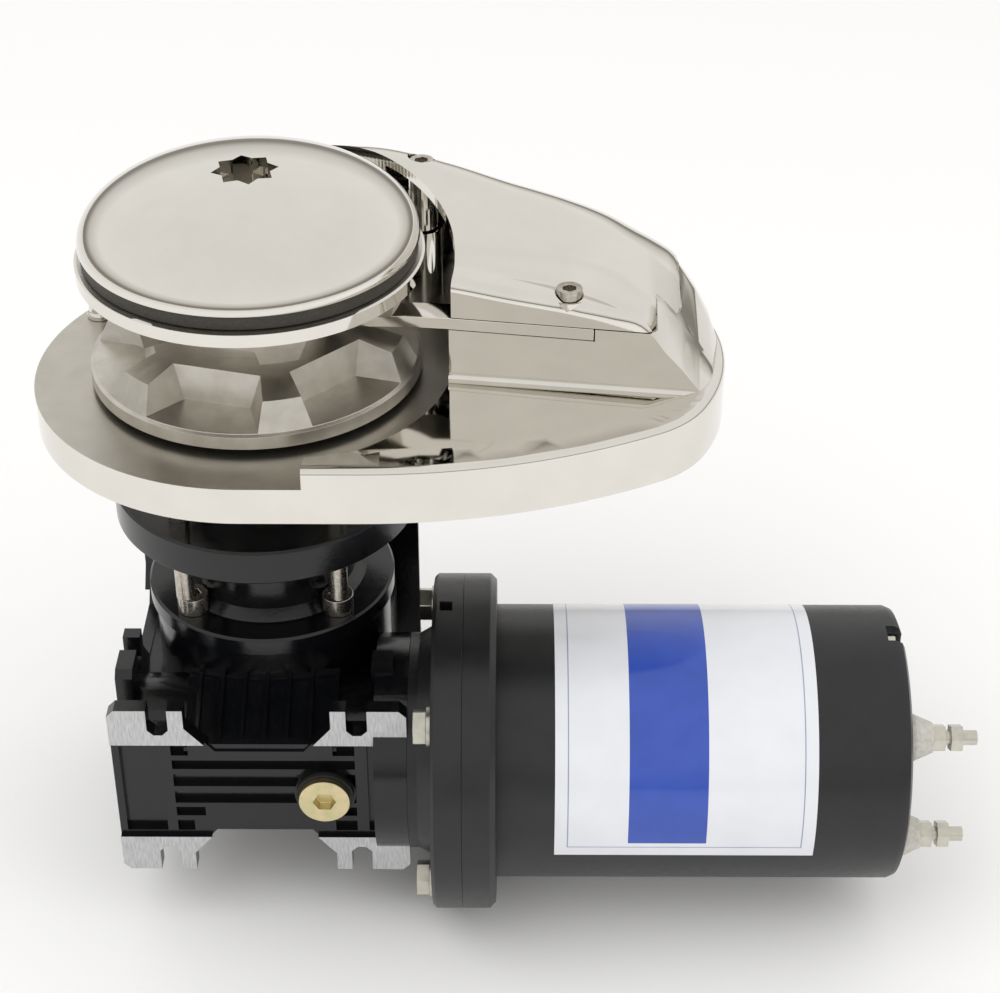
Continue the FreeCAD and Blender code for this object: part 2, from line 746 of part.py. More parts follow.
def key_slot(low, high):
    """The block that a shaft key fills, a hair larger for the slot."""
    return box((dim.shaft_radius - 4.0, dim.shaft_radius - 4.0 + KEY_HIGH + 0.05),
               (-KEY_WIDTH / 2 - 0.02, KEY_WIDTH / 2 + 0.02), (low, high))


KEY_SPANS = ((-167.0, -107.0), (17.0, 65.0))


def main_shaft():
    body = revolved("Shaft", [
        (0, -186), (dim.shaft_radius - 1, -186), (dim.shaft_radius, -185), (dim.shaft_radius, 67.5),
        (dim.shaft_thread, 67.5), (dim.shaft_thread, 86.5), (dim.shaft_thread - 1, 87.5), (0, 87.5)])
    slots = [key_slot(low, high) for low, high in KEY_SPANS]
    return keep(cut(body, *slots), "main_shaft")


def shaft_keys():
    low = dim.shaft_radius - 4.0
    keys = [box((low, low + KEY_HIGH), (-KEY_WIDTH / 2, KEY_WIDTH / 2),
                (start + 0.1, end - 0.1)) for start, end in KEY_SPANS]
    keys[1] = box((low, dim.shaft_radius + 2.9), (-KEY_WIDTH / 2, KEY_WIDTH / 2), (17.1, 32.7))
    clutch_key = box((low, dim.shaft_radius + 2.9), (-KEY_WIDTH / 2, KEY_WIDTH / 2),
                     (54.0, 64.9))
    return keep(group(keys[0], keys[1], clutch_key), "shaft_keys")


def wheel_hub():
    """Iron hub with the bearing journals; the bronze rim is shrunk on to its middle."""
    level = -dim.gear_level
    half = dim.hub_half.value
    body = revolved("WheelHub", [
        (dim.shaft_radius, -half), (19.0, -half), (20.0, -half + 1), (20.0, -24.8), (26.0, -22.0),
        (26.0, 22.0), (20.0, 24.8), (20.0, half - 1), (19.0, half), (dim.shaft_radius, half)],
        0, 0, level)
    return keep(cut(body, key_slot(-190.0, -80.0)), "wheel_hub")


def involute_tooth_points():
    """Half of a wheel tooth as (radius, half angle) from root to tip."""
    module = dim.gear_module.value
    teeth = dim.wheel_teeth.value
    pitch_radius = module * teeth / 2
    base_radius = pitch_radius * math.cos(math.radians(20))
    thickness = math.pi * module / 2 - dim.backlash.value
    half_angle = thickness / (2 * pitch_radius)

    def involute(radius):
        pressure = math.acos(base_radius / radius)
        return math.tan(pressure) - pressure

    radii = [base_radius + (pitch_radius + module - base_radius) * step / 3 for step in range(4)]
    points = [(radius, half_angle + involute(pitch_radius) - involute(radius))
              for radius in radii]
    return [(pitch_radius - 1.2 * module, points[0][1])] + points


def wheel_wire(level, turn):
    """Outline of the toothed rim at one level, turned by the helix of the teeth."""
    teeth = int(dim.wheel_teeth.value)
    flank = involute_tooth_points()
    corners = []
    for tooth in range(teeth):
        centre = -math.pi / 2 + 2 * math.pi * (tooth + 0.5) / teeth + turn
        side = [(radius, centre - angle) for radius, angle in flank]
        side += [(radius, centre + angle) for radius, angle in reversed(flank)]
        corners += [Vector(radius * math.cos(angle), radius * math.sin(angle), level)
                    for radius, angle in side]
    return Part.makePolygon(corners + corners[:1])


def worm_wheel():
    """Bronze rim: involute teeth laid at the worm's lead angle."""
    half = dim.tooth_width.value / 2
    pitch_radius = dim.gear_module.value * dim.wheel_teeth.value / 2
    lead_slope = dim.gear_module.value / (2 * dim.worm_pitch_radius.value)
    twist = lead_slope * half / pitch_radius
    rim = Part.makeLoft([wheel_wire(-half, -twist), wheel_wire(half, twist)], True, True)
    rim = rim.cut(upright(26.0, -half - 1, half + 1))
    item = doc.addObject("Part::Feature", "WormWheel")
    item.Shape = rim
    place(item, 0, 0, -dim.gear_level)
    return keep(item, "worm_wheel")


def worm_thread(turns):
    """The worm's single thread as a solid of ruled faces between four helices."""
    lead = math.pi * dim.gear_module.value
    pitch_radius = dim.worm_pitch_radius.value
    half_pitch_width = (lead / 2 - dim.backlash.value) / 2
    slope = math.tan(math.radians(20))
    root = pitch_radius - 1.2 * dim.gear_module.value - 0.4
    tip = pitch_radius + dim.gear_module.value
    root_half = half_pitch_width + (pitch_radius - root) * slope
    tip_half = half_pitch_width - (tip - pitch_radius) * slope
    corners = [(root, -root_half), (tip, -tip_half), (tip, tip_half), (root, root_half)]
    helices = []
    for radius, shift in corners:
        helix = Part.makeHelix(lead, lead * turns, radius).Edges[0]
        helix.translate(Vector(0, 0, shift))
        helices.append(helix)
    faces = [Part.makeRuledSurface(first, second)
             for first, second in zip(helices, helices[1:] + helices[:1])]
    for end in (0, 1):
        ring = [helix.Vertexes[end].Point for helix in helices]
        faces.append(Part.Face(Part.makePolygon(ring + ring[:1])))
    shell = Part.makeShell(faces)
    shell.sewShape()
    solid = Part.makeSolid(shell)
    return solid if solid.Volume > 0 else solid.reversed()


WORM_TURNS = 5


def worm_shaft():
    """Hollow worm shaft: journals, thread and the socket for the motor shaft."""
    lead = math.pi * dim.gear_module.value
    root = dim.worm_pitch_radius.value - 1.2 * dim.gear_module.value
    profile = [(0, -58), (8.5, -58), (8.5, -42), (root, -40), (root, 26), (10.0, 28),
               (10.0, 66), (7.0, 66), (7.0, 24), (0, 24)]
    face = Part.Face(Part.makePolygon([Vector(r, 0, z) for r, z in profile + profile[:1]]))
    core = face.revolve(Vector(0, 0, 0), Vector(0, 0, 1), 360)
    thread = worm_thread(WORM_TURNS)
    # the thread faces the wheel where it crosses the centre plane
    thread.translate(Vector(0, 0, -lead * WORM_TURNS / 2))
    thread.rotate(Vector(0, 0, 0), Vector(0, 0, 1), 90 - 180 * WORM_TURNS)
    item = doc.addObject("Part::Feature", "WormShaft")
    item.Shape = core.fuse(thread)
    place(item, 0, -dim.centre_distance, -dim.gear_level, TO_X)
    return keep(item, "worm_shaft")


# ---------------------------------------------------------------- spool between deck and gearbox

def shaft_spool():
    """Black casting that hangs the gearbox under the deck."""
    top = -dim.deck_gap
    plate_low = top - dim.spool_top_height
    hub_face = dim.hub_half - dim.gear_level
    foot_top = hub_face + dim.spool_foot_height
    neck = dim.spool_neck_radius
    body = revolved("Spool", [
        (26.0, top), (dim.spool_top_radius - 1, top), (dim.spool_top_radius, top - 1),
        (dim.spool_top_radius, plate_low + 1), (dim.spool_top_radius - 1, plate_low),
        (neck + 3, plate_low), (neck, plate_low - 3), (neck, foot_top + 4), (neck + 4, foot_top),
        (dim.spool_foot_radius - 1, foot_top), (dim.spool_foot_radius, foot_top - 1),
        (dim.spool_foot_radius, hub_face), (28.0, hub_face), (28.0, top - 18.0),
        (22.0, top - 18.0), (22.0, top - 15.0), (26.0, top - 15.0)])
    holes = [cylinder(dim.stud_radius, 40.0, x_sign * dim.stud_across / 2,
                      y_sign * dim.stud_along / 2, -70.0)
             for x_sign in (-1, 1) for y_sign in (-1, 1)]
    for x, y in ring_of(4, 42.5, 45):
        holes.append(cylinder(4.2, 20.0, x, y, hub_face - 5))
        holes.append(cylinder(6.8, 9.0, x, y, foot_top))
    return keep(cut(body, *holes), "shaft_spool")


def spool_screws():
    seat = dim.hub_half - dim.gear_level + dim.spool_foot_height
    screws = [socket_screw(6.5, 8.0, 4.0, 21.0, 6.0, x, y, seat) for x, y in ring_of(4, 42.5, 45)]
    return keep(group(*screws), "spool_screws")


# ---------------------------------------------------------------- gearbox

def foot_frame(span_low, span_high, face, back, role):
    """One machined mounting frame: four pads with open slots, cut away between them.

    It is drawn on an upright plane, across by height, about the worm level."""
    half = dim.foot_half
    middle = (size(span_low) + size(span_high)) / 2
    reach = (size(span_high) - span_low) / 2
    slot = dim.foot_slot / 2
    slot_at = dim.foot_slot_across / 2
    slot_floor = dim.foot_slot_height / 2 - 2.5
    waist = half - 22.5
    right = [(18.0, waist), (29.5, half - 9.0), (29.5, half), (slot_at - slot, half),
             (slot_at - slot, slot_floor), (slot_at - slot + 2.5, slot_floor - 2.5),
             (slot_at + slot - 2.5, slot_floor - 2.5), (slot_at + slot, slot_floor),
             (slot_at + slot, half), (reach - 3.0, half), (reach, half - 3.0)]
    upper = right + [(reach, 0)]
    quarter = [(size(x), size(z)) for x, z in upper]
    ring = [(middle + x, z) for x, z in quarter]
    ring += [(middle + x, -z) for x, z in reversed(quarter[:-1])]
    ring += [(middle - x, -z) for x, z in quarter]
    ring += [(middle - x, z) for x, z in reversed(quarter[:-1])]
    body = new_body("Frame")
    sketch = sketch_on(body, role, back)
    outline(sketch, [(x, z - dim.gear_level) for x, z in ring])
    pad = body.newObject("PartDesign::Pad", "Pad")
    pad.Profile = sketch
    bind(pad, "Length", size(face) - back)
    return body


HUB_RADIUS = 50.0
COVER_RADIUS = 53.0
COVER_SCREW_CIRCLE = 48.9
PAD_FOOT = 24.7               # the bare pads end this far above and below the worm
WEB_STEP = 2.0                # between the pads the casting lies lower
CELL_FLOOR = 5.0
# cells between the ribs of a foot frame: low edge, high edge, half width of the solid middle
CELL_ROWS = ((17.8, 23.0, 29.0), (10.6, 15.2, 0.0), (1.4, 7.8, 0.0), (-7.6, -1.4, 0.0),
             (-14.5, -9.9, 24.0), (-22.5, -17.0, 29.0))
CELL_COLUMNS = (-36.0, 38.5)  # the two upright ribs begin here


def frame_recesses():
    """Tools that lower a foot frame between its pads and sink the cells between its ribs.

    The frame's face is the plane y = 0 and its middle is the origin."""
    reach = dim.case_half + 1.0
    left, right = CELL_COLUMNS
    tools = [box((-reach, reach), (-1.0, WEB_STEP), (-PAD_FOOT, PAD_FOOT)),
             box((-57.0, left - 4.2), (-1.0, CELL_FLOOR), (-22.5, 22.5)),
             box((right + 4.9, 55.0), (-1.0, CELL_FLOOR), (-22.5, 22.5))]
    for low, high, middle in CELL_ROWS:
        spans = [(left, -middle), (middle + 0.6, right)] if middle else [(left, right)]
        tools += [box(span, (-1.0, CELL_FLOOR), (low, high)) for span in spans]
    return fuse(*tools)


def sloping_crest():
    """Crest above the worm: a slope with six thin fins that runs up to the hub."""
    level = -dim.gear_level

    def wedge(name, rise, x_span):
        slope = [(-80.0, 18.5), (-78.0, 21.0 + rise), (-52.0, 33.0 + rise), (-44.0, 33.0 + rise),
                 (-44.0, 18.5)]
        return padded(name, [(y, z + level) for y, z in slope], x_span, "YZ_Plane")

    fins = [wedge("Fin", 2.0, (x, x + 1.5)) for x in (-26.8 + 9.2 * step for step in range(6))]
    return [wedge("Crest", 0.0, (-31.0, 31.0))] + fins


def gearbox_housing():
    """Ribbed casting: two crossing bores, three foot frames and the ribs that tie them."""
    level = -dim.gear_level
    worm_y = -dim.centre_distance
    front = dim.case_front
    half = dim.case_half
    thick = dim.foot_thick
    low_face = level - dim.hub_half
    high_face = level + dim.hub_half
    frames = fuse(
        foot_frame(-half, half, front, front - thick, "XZ_Plane"),
        foot_frame(-half, half, thick - half, -half, "XZ_Plane"),
        foot_frame(-half, half, -half + thick, -half, "YZ_Plane"),
        box((-46.0, 46.0), (-front + 3, half - 4), (level - 23.0, level + 23.0)),
        box((-half + 4, 50.0), (-44.0, 44.0), (level - 19.0, level + 19.0)))
    faces = [(0, -front, 0), (0, half, 180), (-half, 0, -90)]
    recesses = [place(frame_recesses(), x, y, level, Rotation(Vector(0, 0, 1), turn))
                for x, y, turn in faces]
    rounds = [
        cylinder(HUB_RADIUS, 2 * dim.hub_half - 8.0, 0, 0, low_face + 8.0),
        cylinder(COVER_RADIUS, 13.0, 0, 0, low_face + 8.0),
        cylinder(28.0, half + 56.0, -half, worm_y, level, TO_X),
        cylinder(45.0, half - 46.5, 46.5, worm_y, level, TO_X),
        cylinder(12.5, 14.0, 26.0, 14.0 - front, level - 1.0, TO_FRONT),
        box((45.0, 53.5), (-61.0, -48.5), (level + 30.0, level + 46.0))]
    case = fuse(cut(frames, *recesses), *(rounds + sloping_crest()))
    clear = dim.gear_module * dim.wheel_teeth / 2 + 5.5
    wheel_space = revolved("WheelSpace", [
        (0, -50), (45.0, -50), (45.0, -25), (clear, -25), (clear, 25), (34.0, 25), (34.0, 47),
        (0, 47)], 0, 0, level)
    worm_space = revolved("WormSpace", [
        (0, -61), (20.0, -61), (20.0, -42), (18.0, -42), (18.0, 38), (23.5, 38), (23.5, 61),
        (0, 61)], 0, worm_y, level, TO_X)
    hollows = [wheel_space, worm_space]
    for x, y in ring_of(4, 42.5, 45):
        hollows.append(cylinder(4.0, 16.0, x, y, high_face - 15.0))
    for x, y in ring_of(8, COVER_SCREW_CIRCLE, 22.5):
        hollows.append(cylinder(2.4, 12.0, x, y, low_face + 7.5))
    hollows.append(cylinder(8.0, 40.0, 26.0, 39.0 - front, level - 1.0, TO_FRONT))
    return keep(cut(case, *hollows), "gearbox_housing")


def output_cover():
    """Round cover that closes the lower side of the gearbox and holds the lower bearing."""
    level = -dim.gear_level
    low = level - dim.hub_half
    body = revolved("OutputCover", [
        (31.0, low), (43.5, low), (44.0, low + 4), (COVER_RADIUS, low + 4), (COVER_RADIUS, low + 8),
        (44.95, low + 8), (44.95, low + 20.5), (34.0, low + 20.5), (34.0, low + 6), (31.0, low + 6)])
    holes = [cylinder(2.7, 12.0, x, y, low) for x, y in ring_of(8, COVER_SCREW_CIRCLE, 22.5)]
    return keep(cut(body, *holes), "output_cover")


def output_cover_screws():
    low = -dim.gear_level - dim.hub_half
    down = Rotation(Vector(1, 0, 0), 180)
    screws = [socket_screw(4.0, 4.0, 2.4, 14.0, 4.0, x, y, low + 4.0, down)
              for x, y in ring_of(8, COVER_SCREW_CIRCLE, 22.5)]
    return keep(group(*screws), "output_cover_screws")


def worm_end_cap():
    """Pressed cap that closes the blind end of the worm bore."""
    body = revolved("EndCap", [(0, 0), (19.9, 0), (19.9, 1.2), (0, 1.2)],
                    -dim.case_half + 0.2, -dim.centre_distance, -dim.gear_level, TO_X)
    return keep(body, "worm_end_cap")


def oil_plug():
    head = cylinder(10.5, 3.2, 26.0, -dim.case_front - 1.8, -dim.gear_level - 1.0, TO_FRONT)
    shank = cylinder(7.9, 12.0, 26.0, 12.0 - dim.case_front - 1.8, -dim.gear_level - 1.0, TO_FRONT)
    key = hexagon(8.0, 8.0, 26.0, 1.0 - dim.case_front - 1.8, -dim.gear_level - 1.0, TO_FRONT)
    return keep(cut(fuse(head, shank), key), "oil_plug")


def oil_plug_seal():
    ring = revolved("PlugSeal", [(8.0, 0), (11.8, 0), (11.8, 1.8), (8.0, 1.8)],
                    26.0, -dim.case_front, -dim.gear_level - 1.0, TO_FRONT)
    return keep(ring, "oil_plug_seal")


def input_flange():
    """Round flange on the worm side that the motor is bolted to."""
    radius = dim.flange_radius
    start = dim.flange_start
    body = revolved("InputFlange", [
        (23.5, dim.case_half), (45.0, dim.case_half), (45.0, 64.0), (48.5, start),
        (radius - 1.5, start),
        (radius, start + 1.5), (radius, dim.flange_seam), (40.0, dim.flange_seam),
        (40.0, 76.0), (14.0, 76.0), (14.0, 66.2), (23.5, 66.2)],
        0, -dim.centre_distance, -dim.gear_level, TO_X)
    turn = TO_X
    holes = [cylinder(4.3, 30.0, 60.0, y - dim.centre_distance, z - dim.gear_level, turn)
             for y, z in ring_of(4, dim.flange_bolt_circle / 2, 45)]
    drain = box((start + 3.0, start + 8.0), (-3.0 - dim.centre_distance, 3.0 - dim.centre_distance),
                (radius - 8.0 - dim.gear_level, radius + 2.0 - dim.gear_level))
    return keep(cut(body, *(holes + [drain])), "input_flange")


def flange_bolts():
    bolts = []
    washers = []
    for y, z in ring_of(4, dim.flange_bolt_circle / 2, 45):
        y = y - dim.centre_distance
        z = z - dim.gear_level
        washers.append(revolved("Washer", [(4.3, 0), (8.0, 0), (8.0, 1.6), (4.3, 1.6)],
                                dim.flange_start - 1.6, y, z, TO_X))
        head = hexagon(13.0, 5.3, dim.flange_start - 6.9, y, z, TO_X)
        shank = cylinder(4.0, 27.0, dim.flange_start - 1.6, y, z, TO_X)
        bolts.append(fuse(head, shank))
    keep(group(*washers), "flange_washers")
    return keep(group(*bolts), "flange_bolts")


# ---------------------------------------------------------------- motor

def motor_flange():
    """Drive end shield of the motor with its bearing seat."""
    radius = dim.flange_radius
    seam = dim.flange_seam
    start = dim.motor_start
    body = revolved("MotorFlange", [
        (8.0, seam), (39.9, seam), (radius, seam), (radius, start - 2.5),
        (radius - 2.5, start), (dim.motor_radius, start),
        (dim.motor_radius - dim.motor_wall, start), (dim.motor_radius - dim.motor_wall, start + 6),
        (26.0, start + 6), (26.0, start + 8), (20.0, start + 8), (20.0, seam + 8), (8.0, seam + 8)],
        0, -dim.centre_distance, -dim.gear_level, TO_X)
    holes = [cylinder(4.0, 30.0, 70.0, y - dim.centre_distance, z - dim.gear_level, TO_X)
             for y, z in ring_of(4, dim.flange_bolt_circle / 2, 45)]
    return keep(cut(body, *holes), "motor_flange")


def motor_yoke():
    wall = dim.motor_radius - dim.motor_wall
    body = revolved("Yoke", [
        (wall, dim.motor_start), (dim.motor_radius, dim.motor_start),
        (dim.motor_radius, 247.0), (wall, 247.0)],
        0, -dim.centre_distance, -dim.gear_level, TO_X)
    return keep(body, "motor_yoke")


THROUGH_BOLTS = ring_of(2, 50.5, 90)
TERMINALS = ((-29.0, 26.0), (-29.0, -26.0))


def motor_end_bell():
    """Commutator end shield with two bolt notches in its rounded rim."""
    wall = dim.motor_radius - dim.motor_wall
    end = dim.motor_end
    radius = dim.motor_radius
    body = revolved("EndBell", [
        (7.6, end - 4), (7.6, end - 0.8), (12.0, end), (radius - 4, end), (radius - 1.2, end - 1.2),
        (radius, end - 4), (radius, 247.0), (wall, 247.0), (wall, 244.0), (wall - 4, 244.0),
        (wall - 4, end - 6), (20.0, end - 6), (20.0, end - 16), (17.5, end - 16), (17.5, end - 4)],
        0, -dim.centre_distance, -dim.gear_level, TO_X)
    tools = []
    for y, z in THROUGH_BOLTS:
        tools.append(cylinder(2.6, 40.0, 240.0, y - dim.centre_distance, z - dim.gear_level, TO_X))
        for outward in (1.0, 1.1):
            tools.append(cylinder(5.0, 10.0, end - 7.0, y * outward - dim.centre_distance,
                                  z * outward - dim.gear_level, TO_X))
    for y, z in TERMINALS:
        tools.append(cylinder(6.0, 40.0, 240.0, y - dim.centre_distance, z - dim.gear_level, TO_X))
    return keep(cut(body, *tools), "motor_end_bell")


def through_bolts():
    bolts = []
    for y, z in THROUGH_BOLTS:
        y = y - dim.centre_distance
        z = z - dim.gear_level
        head = hexagon(8.0, 3.6, dim.motor_end - 7.0, y, z, TO_X)
        shank = cylinder(2.4, dim.motor_end - 7.0 - 103.0, 103.0, y, z, TO_X)
        bolts.append(fuse(head, shank))
    return keep(group(*bolts), "through_bolts")


def field_magnets():
    """Four curved magnets inside the yoke."""
    outer = dim.motor_radius - dim.motor_wall - 0.1
    ring = revolved("MagnetRing", [(41.0, 112.0), (outer, 112.0), (outer, 202.0), (41.0, 202.0)],
                    0, -dim.centre_distance, -dim.gear_level, TO_X)
    gaps = [box((100, 210), (-70 - dim.centre_distance, 70 - dim.centre_distance),
                (-6 - dim.gear_level, 6 - dim.gear_level)),
            box((100, 210), (-6 - dim.centre_distance, 6 - dim.centre_distance),
                (-70 - dim.gear_level, 70 - dim.gear_level))]
    return keep(cut(ring, *gaps), "field_magnets")


def armature():
    """Laminated core and windings on the motor shaft."""
    shaft = revolved("MotorShaft", [
        (0, 44.0), (6.95, 44.0), (6.95, 90.8), (8.45, 90.8), (8.45, 104.0), (9.0, 104.0),
        (9.0, 240.0), (7.45, 240.0), (7.45, 257.0), (0, 257.0)],
        0, -dim.centre_distance, -dim.gear_level, TO_X)
    core = cylinder(40.2, 80.0, 117.0, -dim.centre_distance, -dim.gear_level, TO_X)
    slots = [box((116.0, 198.0), (-1.5 - dim.centre_distance, 1.5 - dim.centre_distance),
                 (34.0 - dim.gear_level, 42.0 - dim.gear_level)),
             box((116.0, 198.0), (-1.5 - dim.centre_distance, 1.5 - dim.centre_distance),
                 (-42.0 - dim.gear_level, -34.0 - dim.gear_level)),
             box((116.0, 198.0), (34.0 - dim.centre_distance, 42.0 - dim.centre_distance),
                 (-1.5 - dim.gear_level, 1.5 - dim.gear_level)),
             box((116.0, 198.0), (-42.0 - dim.centre_distance, -34.0 - dim.centre_distance),
                 (-1.5 - dim.gear_level, 1.5 - dim.gear_level))]
    return keep(fuse(shaft, cut(core, *slots)), "armature")


def commutator():
    body = revolved("Commutator", [(9.0, 206.0), (24.0, 206.0), (24.0, 209.0), (20.0, 209.0),
                                   (20.0, 230.0), (9.0, 230.0)],
                    0, -dim.centre_distance, -dim.gear_level, TO_X)
    return keep(body, "commutator")


def brush_plate():
    """Insulating plate that carries the brush boxes."""
    body = revolved("BrushPlate", [(27.0, 232.0), (47.6, 232.0), (47.6, 236.0), (27.0, 236.0)],
                    0, -dim.centre_distance, -dim.gear_level, TO_X)
    return keep(body, "brush_plate")


def brushes():
    carbon = []
    for y, z in ring_of(4, 1.0, 45):
        angle = math.degrees(math.atan2(z.value, y.value))
        turn = Rotation(Vector(1, 0, 0), angle)
        block = doc.addObject("Part::Box", "Brush")
        block.Length = 12
        block.Width = 16
        block.Height = 8
        corner = turn.multVec(Vector(0, 20.4, -4))
        place(block, 213.0, corner.y - dim.centre_distance, corner.z - dim.gear_level, turn)
        carbon.append(block)
    return keep(group(*carbon), "brushes")


def terminals():
    """Two threaded power studs, each on an insulator and with two nuts."""
    studs = []
    insulators = []
    nuts = []
    end = dim.motor_end
    for y, z in TERMINALS:
        y = y - dim.centre_distance
        z = z - dim.gear_level
        studs.append(cylinder(3.0, 38.0, end - 10.0, y, z, TO_X))
        insulators.append(revolved("Insulator", [
            (3.0, -6), (6.0, -6), (6.0, 0), (9.5, 0), (9.5, 2.5), (6.2, 10), (3.0, 10)],
            end, y, z, TO_X))
        nuts.append(cut(hexagon(10.0, 5.0, end + 10.0, y, z, TO_X),
                        cylinder(3.0, 8.0, end + 9.0, y, z, TO_X)))
        nuts.append(cut(hexagon(10.0, 5.0, end + 17.0, y, z, TO_X),
                        cylinder(3.0, 8.0, end + 16.0, y, z, TO_X)))
    keep(group(*studs), "terminal_studs")
    keep(group(*insulators), "terminal_insulators")
    return keep(group(*nuts), "terminal_nuts")


def motor_label():
    """Thin plastic label wrapped round the front of the motor."""
    body = new_body("Label")
    sketch = sketch_on(body, "XZ_Plane")
    outline(sketch, [(dim.motor_radius + 0.02, 119.5), (dim.motor_radius + 0.25, 119.5),
                     (dim.motor_radius + 0.25, 224.0), (dim.motor_radius + 0.02, 224.0)])
    wrap = body.newObject("PartDesign::Revolution", "Wrap")
    wrap.Profile = sketch
    wrap.ReferenceAxis = (sketch, ["V_Axis"])
    wrap.Angle = LABEL_WRAP
    turn = TO_X * Rotation(Vector(0, 0, 1), LABEL_START)
    place(body, 0, -dim.centre_distance, -dim.gear_level, turn)
    return keep(body, "motor_label")


LABEL_WRAP = 150.0
LABEL_START = 134.0


def bearings_and_seals():
    level = -dim.gear_level
    worm_y = -dim.centre_distance
    loose = dim.running_gap
    main = dim.shaft_radius + loose
    ball_bearing("deck_bearing", main, 26.0, 15.0, 0, 0, -8.0)
    lip_seal("deck_seal", main, 21.0, 7.0, 0, 0, 7.5)
    ball_bearing("spool_bearing", main, 26.0, 15.0, 0, 0, -dim.deck_gap - 15.0)
    ball_bearing("wheel_bearing_upper", 20.0 + loose, 34.0, 15.0, 0, 0, level + 25.0)
    ball_bearing("wheel_bearing_lower", 20.0 + loose, 34.0, 15.0, 0, 0, level - 40.0)
    lip_seal("output_seal_upper", 20.0 + loose, 34.0, 6.0, 0, 0, level + 40.0)
    lip_seal("output_seal_lower", 20.0 + loose, 31.0, 6.0, 0, 0, level - 46.0)
    ball_bearing("worm_bearing_blind", 8.5 + loose, 20.0, 12.0, -55.0, worm_y, level, TO_X)
    ball_bearing("worm_bearing_drive", 10.0 + loose, 23.5, 14.0, 42.0, worm_y, level, TO_X)
    lip_seal("worm_seal", 10.0 + loose, 23.5, 8.0, 57.5, worm_y, level, TO_X)
    ball_bearing("motor_bearing_drive", 8.45 + loose, 20.0, 12.0, 91.0, worm_y, level, TO_X)
    ball_bearing("motor_bearing_rear", 7.45 + loose, 17.5, 11.0, 246.5, worm_y, level, TO_X)


def main():
    for build in (
            deck_plate, chain_cover, cover_screws, stripper_bar, stripper_screw, guide_post,
            deck_studs, gypsy, lower_clutch_cone, upper_clutch_cone, clutch_cap, main_shaft,
            shaft_keys, wheel_hub, worm_wheel, worm_shaft, shaft_spool, spool_screws,
            gearbox_housing, output_cover, output_cover_screws, worm_end_cap, oil_plug,
            oil_plug_seal, input_flange, flange_bolts, motor_flange, motor_yoke,
            motor_end_bell, through_bolts, field_magnets, armature, commutator, brush_plate,
            brushes, terminals, motor_label, bearings_and_seals):
        build()
    doc.recompute()
    for item in doc.Objects:
        if "Invalid" in item.State or "Error" in item.State:
            raise RuntimeError("%s (%s) failed: %s" % (item.Name, item.Label, item.State))
    for item in subparts:
        if item.Shape.isNull() or not item.Shape.isValid() or not item.Shape.Solids:
            raise RuntimeError("%s has no valid solid" % item.Label)
    os.makedirs("parts", exist_ok=True)
    for item in subparts:
        item.Shape.exportStep("parts/%s.step" % item.Label)
        print("%-22s %2d solid(s) %10.0f mm3" % (
            item.Label, len(item.Shape.Solids), item.Shape.Volume))


main()
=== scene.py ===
import json
import math

import bmesh
import bpy
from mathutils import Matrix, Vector

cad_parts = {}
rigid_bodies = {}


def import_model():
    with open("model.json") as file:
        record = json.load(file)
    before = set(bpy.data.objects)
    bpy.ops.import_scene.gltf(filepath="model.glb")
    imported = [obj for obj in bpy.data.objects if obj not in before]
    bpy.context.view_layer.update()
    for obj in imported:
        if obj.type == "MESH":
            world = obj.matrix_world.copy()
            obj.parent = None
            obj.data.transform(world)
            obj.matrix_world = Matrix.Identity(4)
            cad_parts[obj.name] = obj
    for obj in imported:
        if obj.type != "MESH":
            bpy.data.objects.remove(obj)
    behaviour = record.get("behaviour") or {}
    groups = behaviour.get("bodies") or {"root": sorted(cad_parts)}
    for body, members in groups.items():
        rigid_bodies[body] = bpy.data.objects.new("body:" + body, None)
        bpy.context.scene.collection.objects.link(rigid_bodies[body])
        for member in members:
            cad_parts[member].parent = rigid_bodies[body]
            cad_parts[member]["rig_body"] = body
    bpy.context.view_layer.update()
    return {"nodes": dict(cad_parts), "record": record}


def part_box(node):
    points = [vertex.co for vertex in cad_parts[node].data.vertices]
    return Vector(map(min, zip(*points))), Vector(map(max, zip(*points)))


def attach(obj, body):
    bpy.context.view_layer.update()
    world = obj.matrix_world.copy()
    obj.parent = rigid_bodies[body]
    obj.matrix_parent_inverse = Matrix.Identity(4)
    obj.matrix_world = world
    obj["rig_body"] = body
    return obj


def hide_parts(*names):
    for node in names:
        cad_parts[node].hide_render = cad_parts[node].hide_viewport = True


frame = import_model()


# ---------------------------------------------------------------- clutch cap
# The cap is a domed nut, cast in stainless steel and polished to a mirror.
# It is turned as one piece, and a star socket for the handle is cut in its crown.

def linear(code, alpha=1.0):
    """An sRGB hex colour as the linear values that shaders take."""
    channels = []
    for start in (1, 3, 5):
        value = int(code[start:start + 2], 16) / 255
        if value <= 0.04045:
            channels.append(value / 12.92)
        else:
            channels.append(((value + 0.055) / 1.055) ** 2.4)
    return (*channels, alpha)


def add_node(tree, kind, settings=None, **links):
    """One node with its attributes, its input values and the sockets that feed it."""
    node = tree.nodes.new(kind)
    for name, value in (settings or {}).items():
        if name in node.inputs:
            node.inputs[name].default_value = value
        else:
            setattr(node, name, value)
    for name, source in links.items():
        tree.links.new(source, node.inputs[name.replace("_", " ")])
    return node


def new_material(name, **surface):
    """A material with one principled shader; returns it with its tree and shader."""
    material = bpy.data.materials.new(name)
    material.use_nodes = True
    tree = material.node_tree
    shader = tree.nodes["Principled BSDF"]
    for socket, value in surface.items():
        shader.inputs[socket.replace("_", " ")].default_value = value
    return material, tree, shader


